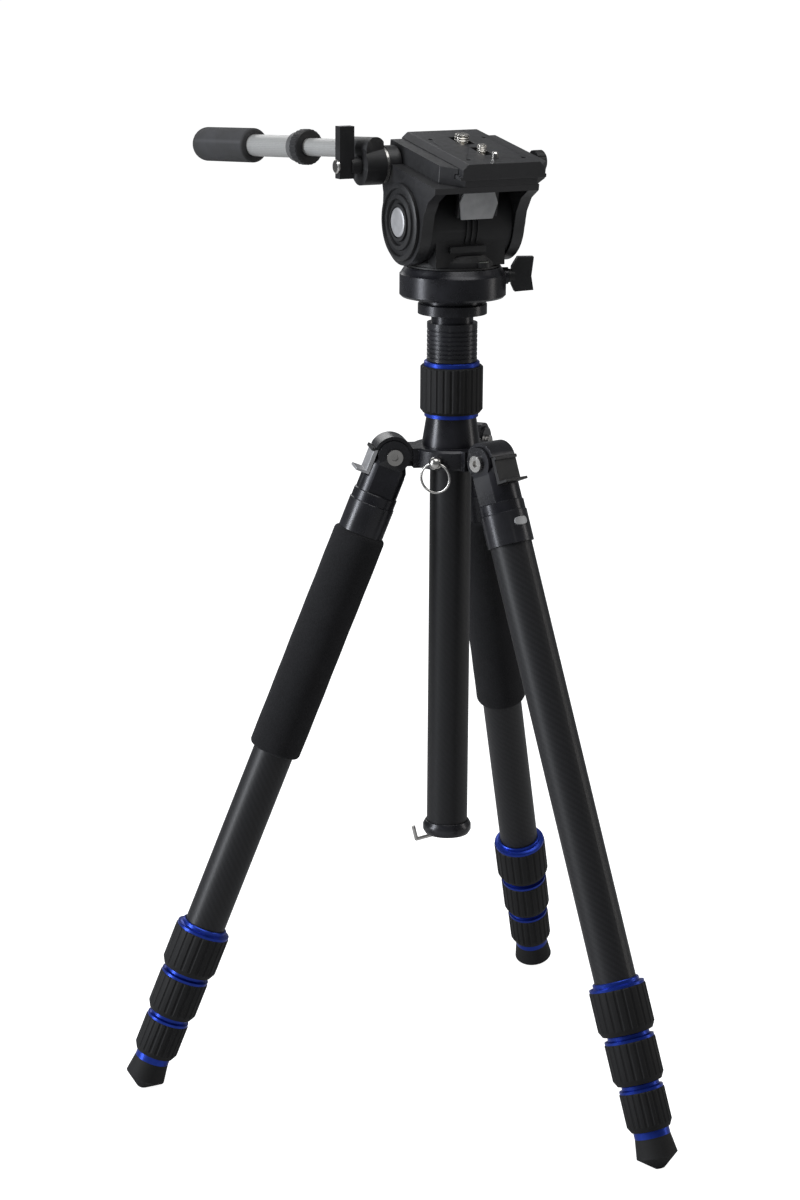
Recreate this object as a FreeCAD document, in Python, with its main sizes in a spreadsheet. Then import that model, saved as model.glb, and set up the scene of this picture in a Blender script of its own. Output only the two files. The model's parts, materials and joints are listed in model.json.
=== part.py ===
# A travel tripod with a fluid video head and a pan handle, legs spread and not extended.
# Millimetres.  The origin is on the floor under the centre column, +Z is up.
import FreeCAD, Part
import os
import re
import Sketcher

os.makedirs("parts", exist_ok=True)
doc = FreeCAD.newDocument("travel_tripod")

# ---------------------------------------------------------------- driving sizes
# name, value, what it is
SIZES = [
    # clearances
    ("slide_gap", 0.3, "radial gap between pieces that slide or turn on each other"),
    ("pin_gap", 0.1, "radial gap round a hinge pin"),
    ("bond_gap", 0.1, "radial glue gap between pieces that never move"),
    ("stack_gap", 0.3, "gap between stacked pieces along an axis"),
    # leg tubes
    ("tube_od", 28.0, "outer diameter of the widest leg section"),
    ("tube_wall", 1.2, "wall of every leg tube"),
    ("tube_show", 293.5, "bare length of the widest section between casting and lock"),
    ("nest_step", 15.0, "how much lower each inner section starts"),
    ("splay", 21.5, "angle of a leg from vertical, degrees"),
    ("first_leg_azimuth", 191.3, "direction of the left leg seen from above, degrees"),
    # leg casting and its hinge
    ("hinge_radius", 40.5, "distance of a leg hinge from the column axis"),
    ("eye_radius", 10.7, "round end of the fork"),
    ("fork_width", 24.0, "width over the two cheeks of the fork"),
    ("tongue_width", 11.4, "width of the shoulder's tongue"),
    ("tongue_radius", 10.4, "lower round of the tongue"),
    ("sector_radius", 13.5, "hood over the fork's eye, with the stop on it"),
    ("hood_width", 20.0, "hood over the fork's eye"),
    ("crotch_depth", 12.8, "bottom of the fork's slot below the hinge"),
    ("barrel_radius", 14.4, "round body under the fork"),
    ("barrel_end", 28.0, "where the barrel meets the tube socket"),
    ("socket_wall", 1.5, "wall of the tube socket"),
    ("socket_lip", 0.5, "step between the socket's two diameters"),
    ("casting_seat", 30.0, "where the tube starts inside the socket"),
    ("casting_end", 56.5, "lower end of the casting"),
    ("pin_radius", 3.0, "hinge bolt shank"),
    ("bolt_head_radius", 5.4, "hinge bolt head"),
    ("bolt_head_height", 2.4, "hinge bolt head"),
    ("bolt_socket", 2.4, "half width of the bolt's hexagon socket"),
    # angle catch
    ("catch_width", 19.0, "angle catch"),
    ("catch_thick", 3.0, "angle catch"),
    ("catch_rise", 1.0, "top of the catch above the hinge"),
    ("catch_drop", 17.0, "lower end of the catch below the hinge"),
    ("lip_reach", 6.8, "how far the thumb lip stands out"),
    ("lip_thick", 1.8, "thumb lip"),
    # foam grips
    ("foam_length", 162.0, "foam grip on two of the legs"),
    ("foam_wall", 4.0, "foam thickness"),
    ("foam_round", 3.0, "rounding of the foam's ends"),
    # twist locks
    ("ring_height", 5.0, "anodised ring above each lock sleeve"),
    ("ring_wall", 1.6, "thickness of that ring over the tube"),
    ("ring_flange", 1.7, "wide foot of that ring, on top of the sleeve"),
    ("sleeve_1", 30.0, "rubber sleeve of the first lock"),
    ("sleeve_2", 28.0, "rubber sleeve of the second lock"),
    ("sleeve_3", 26.0, "rubber sleeve of the third lock"),
    ("sleeve_wall_1", 5.0, "first sleeve's outside over its tube"),
    ("sleeve_wall_2", 4.6, "second sleeve's outside over its tube"),
    ("sleeve_wall_3", 4.2, "third sleeve's outside over its tube"),
    ("sleeve_chamfer", 2.1, "bevel round a sleeve's lower end"),
    ("sleeve_bevel_run", 4.0, "length of that bevel along the leg"),
    ("nut_floor", 9.0, "part of the lock that reaches below the tube's end"),
    ("flute_radius", 1.5, "groove cut along the sleeves"),
    ("flute_depth", 0.6, "groove cut along the sleeves"),
    ("flute_count", 22, "grooves round a lock"),
    # feet
    ("foot_ring_height", 4.5, "anodised ring above the foot"),
    ("foot_ring_wall", 2.5, "thickness of that ring over the tube"),
    ("foot_height", 13.0, "foot from its top to its rim"),
    ("foot_rim_wall", 4.3, "foot's rim over the tube"),
    ("foot_tip_radius", 3.0, "flat at the point of the foot"),
    ("foot_cone", 38.0, "slope of the foot's cone, degrees"),
    ("foot_flat", 0.9, "depth of the facet that the foot stands on"),
    # shoulder
    ("hub_radius", 27.0, "round plate of the shoulder"),
    ("hub_rise", 5.6, "top of the plate above the hinges"),
    ("hub_drop", 7.7, "bottom of the plate below the hinges"),
    ("arm_width", 24.0, "root of each arm"),
    ("arm_reach", 27.7, "where the wide root ends"),
    ("collar_height", 19.2, "conical collar over the plate"),
    ("collar_low_wall", 5.6, "conical collar over the column, at its foot"),
    ("collar_high_wall", 2.7, "conical collar over the column, at its top"),
    ("neck_height", 20.0, "threaded neck inside the column lock"),
    ("stud_radius", 4.4, "ball of the ring stud"),
    ("stud_reach", 31.5, "distance of that ball from the column axis"),
    ("ring_radius", 9.9, "tie ring, to the middle of its wire"),
    ("ring_wire", 0.8, "tie ring wire radius"),
    # column and its lock
    ("column_od", 28.0, "centre column"),
    ("column_wall", 1.5, "centre column"),
    ("column_drop", 325.5, "column below its top fitting"),
    ("lock_ring_low", 2.5, "lower anodised ring of the column lock"),
    ("lock_ring_high", 3.0, "upper anodised ring of the column lock"),
    ("lock_grip_height", 31.7, "rubber grip of the column lock"),
    ("lock_grip_wall", 7.0, "rubber grip of the column lock over the column"),
    ("lock_low_wall", 4.1, "lower ring over the column"),
    ("lock_high_wall", 4.6, "upper ring over the column"),
    ("column_flute_count", 28, "grooves round the column lock"),
    ("sleeve_height", 25.5, "ribbed sleeve on top of the column"),
    ("sleeve_over", 2.8, "ribbed sleeve over the column"),
    ("rib_depth", 0.4, "grooves round the ribbed sleeve"),
    ("rib_pitch", 3.0, "spacing of those grooves"),
    ("neck_rise", 6.0, "neck above the ribbed sleeve"),
    ("neck_radius", 14.0, "neck above the ribbed sleeve"),
    ("flange_height", 7.2, "flange that carries the head"),
    ("flange_radius", 23.0, "flange that carries the head"),
    ("cap_over", 2.6, "cap at the column's foot, over the column"),
    ("cap_skirt", 4.2, "cap's skirt up the tube"),
    ("cap_web", 2.0, "cap's web"),
    ("cap_rim", 2.8, "cap's rim under the web"),
    ("hook_wire", 1.3, "hook wire radius"),
    ("hook_reach", 21.0, "hook"),
    ("hook_fall", 7.0, "hook's bend below the cap's web"),
    ("hook_tip_rise", 9.5, "hook's tip above its bend"),
    # pan base
    ("pan_radius", 35.3, "pan base disc"),
    ("pan_stub_height", 4.0, "narrow foot of the pan base"),
    ("pan_stub_radius", 20.0, "narrow foot of the pan base"),
    ("pan_height", 16.0, "pan base disc"),
    ("pan_crown", 4.3, "sloping top of the pan base"),
    ("pan_knob_height", 13.2, "pan lock above the disc's underside"),
    ("pan_knob_azimuth", 8.0, "direction of the pan lock, degrees"),
    ("pan_knob_tall", 23.0, "wing of the pan lock"),
    ("pan_knob_long", 14.5, "wing of the pan lock"),
    ("pan_knob_thick", 7.0, "wing of the pan lock"),
    # head housing
    ("heading", -62.0, "direction the head faces, degrees"),
    ("nose_down", 9.0, "tilt of the head in the rest pose, degrees"),
    ("tilt_height", 30.0, "tilt axis above the housing's underside"),
    ("drum_radius", 26.8, "cross drum that holds the fluid cartridge"),
    ("housing_width", 59.0, "housing across the tilt axis"),
    ("pedestal_radius", 31.0, "round foot of the housing"),
    ("pedestal_height", 9.0, "round foot of the housing"),
    ("trunnion_radius", 8.0, "stub axles of the tilt"),
    ("rib_rise", 1.1, "ribs down the front of the housing"),
    # tilting cradle
    ("arm_thick", 8.0, "side arms of the cradle"),
    ("arm_gap", 0.5, "side gap between housing and arm"),
    ("arm_radius", 28.3, "round end of the side arms"),
    ("deck_low", 29.0, "underside of the cradle's deck above the tilt axis"),
    ("deck_high", 33.0, "top of the cradle's deck above the tilt axis"),
    ("deck_length", 84.0, "deck along the head"),
    ("apron_gap", 1.7, "gap between drum and front apron"),
    ("apron_thick", 3.0, "front apron"),
    ("apron_low", 10.0, "lower edge of the apron above the tilt axis"),
    ("apron_width", 29.0, "front apron"),
    ("badge_thick", 1.2, "blank plate on the apron"),
    ("cap_ring_radius", 25.3, "side cap"),
    ("knob_radius", 15.0, "tilt drag knob"),
    ("knob_height", 8.5, "tilt drag knob"),
    # plate clamp and camera plate
    ("plate_shift", 10.0, "plate's centre line left of the tilt axis' middle"),
    ("plate_length", 88.0, "camera plate"),
    ("plate_half_width", 30.0, "camera plate"),
    ("plate_bevel", 4.0, "side bevel of the plate, across"),
    ("plate_thick", 10.7, "camera plate"),
    ("plate_flange", 1.5, "retaining flange along the plate's foot"),
    ("flange_thick", 2.5, "that flange"),
    ("clamp_floor", 4.5, "floor of the clamp"),
    ("clamp_height", 11.5, "clamp over the deck"),
    ("rail_width", 9.0, "rails beside the plate"),
    ("clamp_corner", 9.0, "cut corners at the front"),
    ("clamp_knob_radius", 7.5, "plate lock knob"),
    ("clamp_knob_height", 9.0, "plate lock knob"),
    ("big_screw", 9.52, "three-eighths inch screw diameter"),
    ("small_screw", 6.35, "quarter inch screw diameter"),
    ("guide_pin", 4.4, "anti-twist pin diameter"),
    ("big_screw_at", -16.0, "along the plate"),
    ("small_screw_at", 12.0, "along the plate"),
    ("guide_pin_at", 30.0, "along the plate"),
    ("screw_proud", 4.5, "thread standing over the plate"),
    # pan handle
    ("rosette_back", 33.0, "rosette behind the tilt axis"),
    ("rosette_up", 30.0, "rosette above the tilt axis"),
    ("rosette_radius", 13.0, "round eye of the handle joint"),
    ("ear_radius", 12.5, "ear of the cradle that carries the rosette"),
    ("eye_thick", 14.5, "handle joint's eye"),
    ("tooth_ring", 2.0, "metal rosette ring"),
    ("handle_yaw", 11.6, "handle turned outward, degrees"),
    ("handle_pitch", 12.2, "handle turned down from the plate, degrees"),
    ("handle_offset", 10.6, "handle tube above the rosette's bolt"),
    ("handle_aside", 7.6, "handle tube beside the inner face of the rosette's eye"),
    ("handle_tube", 12.0, "inner handle tube diameter"),
    ("socket_thick", 1.8, "wall of the handle tube's socket"),
    ("socket_length", 29.0, "handle tube socket"),
    ("socket_back", 9.0, "socket in front of the rosette"),
    ("collar_start", 64.0, "handle lock collar along the handle"),
    ("collar_flange", 7.2, "wide part of the collar"),
    ("collar_length", 15.0, "whole collar"),
    ("collar_radius", 12.0, "wide part of the collar"),
    ("grip_start", 127.5, "rubber grip along the handle"),
    ("grip_length", 65.5, "rubber grip"),
    ("grip_radius", 11.8, "rubber grip"),
    ("grip_round", 9.5, "rounded end of the grip"),
    ("lever_tall", 34.0, "wing lever"),
    ("lever_drop", 8.0, "wing lever below its bolt"),
    ("lever_width", 7.0, "wing lever"),
    ("lever_depth", 10.5, "wing lever along its bolt"),
    ("lever_boss", 5.0, "round boss of the lever, along its bolt"),
    ("lever_boss_radius", 5.6, "round boss of the lever"),
]

# ---------------------------------------------------------------- sizes that follow
FOLLOWS = {
    "tube_step": "tube_wall + slide_gap",
    "tube_r1": "tube_od / 2",
    "tube_r2": "tube_r1 - tube_step",
    "tube_r3": "tube_r2 - tube_step",
    "tube_r4": "tube_r3 - tube_step",
    "lock_at_1": "casting_end + tube_show",
    "lock_at_2": "lock_at_1 + ring_height + sleeve_1 + stack_gap",
    "lock_at_3": "lock_at_2 + ring_height + sleeve_2 + stack_gap",
    "foot_at": "lock_at_3 + ring_height + sleeve_3 + stack_gap",
    "rim_at": "foot_at + foot_ring_height + foot_height",
    "socket_radius": "tube_r1 + bond_gap + socket_wall",
    # when the leg is spread, the foot stands on a facet of its cone
    "foot_top_radius": "tube_r4 + foot_ring_wall",
    "foot_rim_radius": "tube_r4 + foot_rim_wall",
    "tip_at": "rim_at + (foot_rim_radius - foot_tip_radius) * tan(foot_cone * 1 deg)",
    "tip_fall": "tip_at * cos(splay * 1 deg) + foot_tip_radius * sin(splay * 1 deg)",
    "hinge_z": "tip_fall - foot_flat",
    "hub_top": "hinge_z + hub_rise",
    "hub_bottom": "hinge_z - hub_drop",
    "collar_top": "hub_top + collar_height",
    "bore_radius": "column_od / 2 + slide_gap",
    "collar_low_radius": "column_od / 2 + collar_low_wall",
    "collar_high_radius": "column_od / 2 + collar_high_wall",
    "lock_grip_radius": "column_od / 2 + lock_grip_wall",
    "lock_low_radius": "column_od / 2 + lock_low_wall",
    "lock_high_radius": "column_od / 2 + lock_high_wall",
    "sleeve_radius": "column_od / 2 + sleeve_over",
    "cap_radius": "column_od / 2 + cap_over",
    "neck_outer": "collar_high_radius",
    "lock_bottom": "collar_top + stack_gap",
    "grip_bottom": "lock_bottom + lock_ring_low",
    "grip_top": "grip_bottom + lock_grip_height",
    "lock_top": "grip_top + lock_ring_high",
    "column_seat": "lock_top + stack_gap",
    "column_bottom": "column_seat - column_drop",
    "sleeve_top": "column_seat + sleeve_height",
    "flange_low": "sleeve_top + neck_rise",
    "flange_top": "flange_low + flange_height",
    "pan_low": "flange_top + pan_stub_height",
    "pan_top": "pan_low + pan_height + pan_crown",
    "housing_low": "pan_top + stack_gap",
    "tilt_z": "housing_low + tilt_height",
    "inner_face": "housing_width / 2 + arm_gap",
    "outer_face": "inner_face + arm_thick",
    "apron_back": "drum_radius + apron_gap",
    "apron_front": "apron_back + apron_thick",
    "clamp_top": "deck_high + clamp_height",
    "plate_low": "deck_high + clamp_floor + stack_gap",
    "plate_top": "plate_low + plate_thick",
    "clamp_half": "plate_half_width + slide_gap + rail_width",
    "eye_near": "outer_face + 0.5 + tooth_ring + stack_gap",
    "eye_far": "eye_near + eye_thick",
    "handle_r1": "handle_tube / 2",
    "handle_r2": "handle_r1 + tube_step",
    "handle_out_at": "collar_start + 4",
    "handle_out_end": "grip_start + grip_length - 7",
}

NAMES = {name for name, number, note in SIZES}
sheet = doc.addObject("Spreadsheet::Sheet", "dims")
for row, (name, number, note) in enumerate(SIZES, start=1):
    sheet.set("A%d" % row, name)
    sheet.set("B%d" % row, str(number))
    sheet.set("C%d" % row, note)
    sheet.setAlias("B%d" % row, name)
doc.recompute()


def formula(text):
    """Write an expression over the sheet's cells from one that uses plain names."""
    def swap(found):
        word = found.group(0)
        if word in FOLLOWS:
            return "(" + formula(FOLLOWS[word]) + ")"
        return "dims." + word if word in NAMES else word
    return re.sub(r"[a-z_][a-z0-9_]*", swap, str(text))


def size(text):
    """The number that an expression has now."""
    return float(sheet.evalExpression(formula(text)))


# ---------------------------------------------------------------- building blocks
def vector(x, y, z):
    return FreeCAD.Vector(float(x), float(y), float(z))


def bind(thing, name, text):
    thing.setExpression(name, formula(text))


def place(thing, at, turn=None):
    """Put a primitive at a point given by expressions, turned by a fixed rotation."""
    thing.Placement = FreeCAD.Placement(vector(0, 0, 0), turn or FreeCAD.Rotation())
    for letter, text in zip("xyz", at):
        bind(thing, "Placement.Base." + letter, text)
    return thing


ALONG_Y = FreeCAD.Rotation(vector(1, 0, 0), -90)
ALONG_X = FreeCAD.Rotation(vector(0, 1, 0), 90)


def box(name, length, width, height, at, turn=None):
    """A box whose low corner is at a point."""
    thing = doc.addObject("Part::Box", name)
    bind(thing, "Length", length)
    bind(thing, "Width", width)
    bind(thing, "Height", height)
    return place(thing, at, turn)


def slab(name, x_low, x_high, width, z_low, z_high, y_mid="0"):
    """A box centred on a plane y = y_mid."""
    return box(name, "%s - (%s)" % (x_high, x_low), width, "%s - (%s)" % (z_high, z_low),
               (x_low, "%s - (%s) / 2" % (y_mid, width), z_low))


def rod(name, radius, height, at, turn=None):
    """A cylinder whose axis starts at a point."""
    thing = doc.addObject("Part::Cylinder", name)
    bind(thing, "Radius", radius)
    bind(thing, "Height", height)
    return place(thing, at, turn)


def cross_rod(name, radius, y_low, y_high, x="0", z="0"):
    """A cylinder along Y."""
    return rod(name, radius, "%s - (%s)" % (y_high, y_low), (x, y_low, z), ALONG_Y)


def join(name, pieces):
    thing = doc.addObject("Part::MultiFuse", name)
    thing.Shapes = pieces
    thing.Refine = True
    return thing


def cut(name, base, tools):
    tool = tools[0] if len(tools) == 1 else join(name + "_tools", tools)
    thing = doc.addObject("Part::Cut", name)
    thing.Base = base
    thing.Tool = tool
    thing.Refine = True
    return thing


def common(name, first, second):
    thing = doc.addObject("Part::Common", name)
    thing.Base = first
    thing.Tool = second
    thing.Refine = True
    return thing


def outline(body, plane, points, name):
    """A closed sketch of straight lines, each corner held by two bound distances."""
    sketch = body.newObject("Sketcher::SketchObject", name)
    origin = [item for item in body.Origin.OriginFeatures if item.Role == plane]
    sketch.AttachmentSupport = [(origin[0], "")]
    sketch.MapMode = "FlatFace"
    here = [vector(size(x), size(y), 0) for x, y in points]
    count = len(here)
    for i in range(count):
        sketch.addGeometry(Part.LineSegment(here[i], here[(i + 1) % count]), False)
    for i in range(count):
        sketch.addConstraint(Sketcher.Constraint("Coincident", i, 2, (i + 1) % count, 1))
    for i, point in enumerate(points):
        for kind, text in zip(("DistanceX", "DistanceY"), point):
            rule = Sketcher.Constraint(kind, -1, 1, i, 1, size(text))
            number = sketch.addConstraint(rule)
            sketch.setExpression("Constraints[%d]" % number, formula(text))
    return sketch


def turned(name, points, flutes=None, rounded=()):
    """A body turned about Z from (radius, height) corners.

    flutes is (radius, middle of the groove, count), and rounded lists
    (radius of the edge, height of the edge, rounding)."""
    body = doc.addObject("PartDesign::Body", name)
    sketch = outline(body, "XZ_Plane", points, name + "_outline")
    spin = body.newObject("PartDesign::Revolution", name + "_turned")
    spin.Profile = sketch
    spin.ReferenceAxis = (sketch, ["V_Axis"])
    spin.Angle = 360
    doc.recompute()
    for number, (radius, height, rounding) in enumerate(rounded):
        base = body.Tip
        edges = ["Edge%d" % (k + 1) for k, edge in enumerate(base.Shape.Edges)
                 if is_circle_at(edge, size(radius), size(height))]
        blend = body.newObject("PartDesign::Fillet", "%s_round_%d" % (name, number))
        blend.Base = (base, edges)
        bind(blend, "Radius", rounding)
        doc.recompute()
    if flutes:
        groove_radius, groove_at, count = flutes
        low = min((size(height), height) for radius, height in points)[1]
        high = max((size(height), height) for radius, height in points)[1]
        groove = body.newObject("PartDesign::SubtractiveCylinder", name + "_groove")
        bind(groove, "Radius", groove_radius)
        bind(groove, "Height", "%s - (%s) + 2" % (high, low))
        place(groove, (groove_at, "0", "%s - 1" % low))
        doc.recompute()
        ring = body.newObject("PartDesign::PolarPattern", name + "_grooves")
        ring.Originals = [groove]
        ring.Axis = (sketch, ["V_Axis"])
        ring.Angle = 360
        bind(ring, "Occurrences", count)
        body.Tip = ring
        doc.recompute()
    return body


def is_circle_at(edge, radius, height):
    curve = edge.Curve
    return (curve.TypeId == "Part::GeomCircle" and abs(curve.Radius - radius) < 0.01
            and abs(curve.Center.z - height) < 0.01)


def ring_outline(inner, outer, low, high):
    return [(inner, low), (outer, low), (outer, high), (inner, high)]


def pushed(name, plane, points, width):
    """A body pushed out evenly to both sides of an origin plane."""
    body = doc.addObject("PartDesign::Body", name)
    sketch = outline(body, plane, points, name + "_outline")
    pad = body.newObject("PartDesign::Pad", name + "_pad")
    pad.Profile = sketch
    pad.SideType = "Symmetric"
    bind(pad, "Length", width)
    return body


def moved(name, pieces, frame):
    """Pieces carried into another frame."""
    group = doc.addObject("Part::Compound", name)
    group.Links = pieces
    group.Placement = frame
    return group


NODES = {}


def node(label, pieces, frame=None):
    """One sub-part: a piece or a group of pieces, placed in the tripod's frame."""
    group = doc.addObject("Part::Compound", label + "_node")
    group.Links = pieces
    group.Label = label
    doc.recompute()
    group.Placement = frame or FreeCAD.Placement()
    NODES[label] = group


# ---------------------------------------------------------------- frames
def spin_z(degrees):
    return FreeCAD.Placement(vector(0, 0, 0), FreeCAD.Rotation(vector(0, 0, 1), degrees))


def hinge_frame(azimuth):
    """At a leg hinge, X outward, Y across, Z up."""
    shift = FreeCAD.Placement(vector(size("hinge_radius"), 0, size("hinge_z")), FreeCAD.Rotation())
    return spin_z(azimuth).multiply(shift)


def leg_frame(azimuth):
    """At a leg hinge, Z down along the spread leg, X to its outer side."""
    flip = FreeCAD.Rotation(vector(1, 0, 0), 180)
    lean = FreeCAD.Rotation(vector(0, 1, 0), -size("splay"))
    turn = FreeCAD.Placement(vector(0, 0, 0), lean.multiply(flip))
    return hinge_frame(azimuth).multiply(turn)


def head_frame():
    """At the middle of the tilt axis, X forward and level, Y to the head's left, Z up."""
    lift = FreeCAD.Placement(vector(0, 0, size("tilt_z")), FreeCAD.Rotation())
    return lift.multiply(spin_z(size("heading")))


def cradle_frame():
    """The head's frame with the nose turned down."""
    nod = FreeCAD.Placement(vector(0, 0, 0), FreeCAD.Rotation(vector(0, 1, 0), size("nose_down")))
    return head_frame().multiply(nod)


def handle_place():
    """In the cradle's frame: Z runs back along the handle tube, X is its upper side."""
    swing = FreeCAD.Rotation(vector(0, 0, 1), size("handle_yaw"))
    back = FreeCAD.Rotation(vector(0, 1, 0), -90 - size("handle_pitch"))
    turn = swing.multiply(back)
    middle = vector(-size("rosette_back"), -size("eye_near + handle_aside"), size("rosette_up"))
    raised = turn.multVec(vector(size("handle_offset"), 0, 0))
    return FreeCAD.Placement(middle.add(raised), turn)


LEGS = [("left", 0, True), ("front", 120, False), ("back", 240, True)]


# ---------------------------------------------------------------- legs
def leg_casting(label, frame):
    """Fork, round barrel and tube socket in one casting."""
    tag = label + "_"
    eye = cross_rod(tag + "eye", "eye_radius", "-fork_width / 2", "fork_width / 2")
    barrel = turned(tag + "barrel", [
        ("0", "0"), ("eye_radius", "0"), ("barrel_radius", "9"),
        ("barrel_radius", "barrel_end + 1"), ("0", "barrel_end + 1")])
    flats = slab(tag + "flats", "-barrel_radius - 1", "barrel_radius + 1", "fork_width",
                 "-1", "barrel_end + 2")
    body = common(tag + "body", barrel, flats)
    socket = turned(tag + "socket", [
        ("0", "barrel_end"), ("socket_radius - socket_lip - 0.6", "barrel_end"),
        ("socket_radius - socket_lip", "barrel_end + 0.6"),
        ("socket_radius - socket_lip", "barrel_end + 7"), ("socket_radius", "barrel_end + 7.5"),
        ("socket_radius", "casting_end"), ("0", "casting_end")])
    solid = join(tag + "solid", [eye, body, socket])
    slot = slab(tag + "slot", "-20", "20", "tongue_width + 2 * slide_gap", "-20", "crotch_depth")
    bore = rod(tag + "bore", "tube_r1 + bond_gap", "casting_end - casting_seat + 1",
               ("0", "0", "casting_seat"))
    hole = cross_rod(tag + "hole", "pin_radius + pin_gap", "-20", "20")
    recess = slab(tag + "recess", "eye_radius + 0.2", "20", "catch_width + 2 * slide_gap",
                  "-20", "catch_drop + 1")
    node(label + "_casting", [cut(tag + "casting", solid, [slot, bore, hole, recess])], frame)


def leg_catch(label, frame):
    """Pull-out plate whose upper end meets the stop sector, with a thumb lip."""
    tag = label + "_catch_"
    plate = slab(tag + "plate", "eye_radius + 0.5", "eye_radius + 0.5 + catch_thick", "catch_width",
                 "-catch_rise", "catch_drop")
    lip = slab(tag + "lip", "eye_radius + 0.5", "eye_radius + 0.5 + catch_thick + lip_reach",
               "catch_width", "catch_drop - lip_thick", "catch_drop")
    rib = slab(tag + "rib", "eye_radius + 0.5", "eye_radius + 2 + catch_thick", "catch_width",
               "-catch_rise", "-catch_rise + 2.2")
    node(label + "_catch", [join(tag + "solid", [plate, lip, rib])], frame)


def leg_tube(label, number, frame):
    """One carbon section, open at both ends."""
    radius = "tube_r%d" % number
    top = "casting_seat + nest_step * %d" % (number - 1)
    if number < 4:
        end = "lock_at_%d + ring_height + sleeve_%d - nut_floor" % (number, number)
    else:
        end = "rim_at - 2"
    tube = turned("%s_tube_%d_solid" % (label, number),
                  ring_outline("%s - tube_wall" % radius, radius, top, end))
    node("%s_tube_%d" % (label, number), [tube], frame)


def leg_lock(label, number, frame):
    """Twist lock: an anodised nut that shows as a ring, under a fluted rubber sleeve."""
    tag = "%s_lock_%d_" % (label, number)
    tube, inner = "tube_r%d" % number, "tube_r%d" % (number + 1)
    start, sleeve = "lock_at_%d" % number, "sleeve_%d" % number
    sleeve_at = "%s + ring_height" % start
    end = "%s + %s" % (sleeve_at, sleeve)
    wide = "%s + sleeve_wall_%d" % (tube, number)
    step = "%s - nut_floor + stack_gap" % end
    nut = turned(tag + "nut", [
        ("%s + slide_gap" % tube, start), ("%s + ring_wall - 0.5" % tube, start),
        ("%s + ring_wall" % tube, "%s + 0.5" % start),
        ("%s + ring_wall" % tube, "%s - ring_flange - 0.7" % sleeve_at),
        ("%s - 1.4" % wide, "%s - ring_flange" % sleeve_at),
        ("%s - 0.5" % wide, "%s - ring_flange" % sleeve_at),
        ("%s - 0.5" % wide, sleeve_at), ("%s + ring_wall" % tube, sleeve_at),
        ("%s + ring_wall" % tube, end),
        ("%s + slide_gap" % inner, end), ("%s + slide_gap" % inner, step),
        ("%s + slide_gap" % tube, step)])
    rubber = turned(tag + "rubber", [
        ("%s + ring_wall + bond_gap" % tube, sleeve_at + " + 0.05"),
        ("%s - 0.6" % wide, sleeve_at + " + 0.05"), (wide, "%s + 0.7" % sleeve_at),
        (wide, "%s - sleeve_bevel_run" % end),
        ("%s - sleeve_chamfer" % wide, end), ("%s + ring_wall + bond_gap" % tube, end)],
        flutes=("flute_radius", "%s + flute_radius - flute_depth" % wide, "flute_count"))
    node("%s_lock_%d" % (label, number), [nut, rubber], frame)


def leg_foot(label, frame):
    """Rubber foot whose cone is cut level with the floor, and its anodised ring."""
    tag = label + "_foot_"
    ring = turned(tag + "ring", ring_outline(
        "tube_r4 + bond_gap", "tube_r4 + foot_ring_wall", "foot_at", "foot_at + foot_ring_height"))
    rubber_at = "foot_at + foot_ring_height"
    rubber = turned(tag + "rubber", [
        ("tube_r4 + bond_gap", rubber_at), ("foot_top_radius", rubber_at),
        ("foot_rim_radius", "rim_at"), ("foot_tip_radius", "tip_at"), ("0", "tip_at"),
        ("0", "rim_at - 1.9"), ("tube_r4 + bond_gap", "rim_at - 1.9")])
    level = FreeCAD.Rotation(vector(0, 1, 0), -size("splay"))
    floor = box(tag + "floor", "80", "80", "30", (
        "-40 * cos(splay * 1 deg)", "-40",
        "hinge_z / cos(splay * 1 deg) - 40 * sin(splay * 1 deg)"), level)
    node(label + "_foot", [ring, cut(tag + "standing", rubber, [floor])], frame)


def leg_foam(label, frame):
    outer = "tube_r1 + foam_wall"
    low = "casting_end + stack_gap"
    high = "casting_end + foam_length"
    foam = turned(label + "_foam_solid", ring_outline("tube_r1 + bond_gap", outer, low, high),
                  rounded=[(outer, low, "foam_round"), (outer, high, "foam_round")])
    node(label + "_foam", [foam], frame)


def legs():
    for side, turn, has_foam in LEGS:
        frame = leg_frame(size("first_leg_azimuth") + turn)
        label = "leg_" + side
        leg_casting(label, frame)
        leg_catch(label, frame)
        for number in (1, 2, 3, 4):
            leg_tube(label, number, frame)
        for number in (1, 2, 3):
            leg_lock(label, number, frame)
        leg_foot(label, frame)
        if has_foam:
            leg_foam(label, frame)


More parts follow.
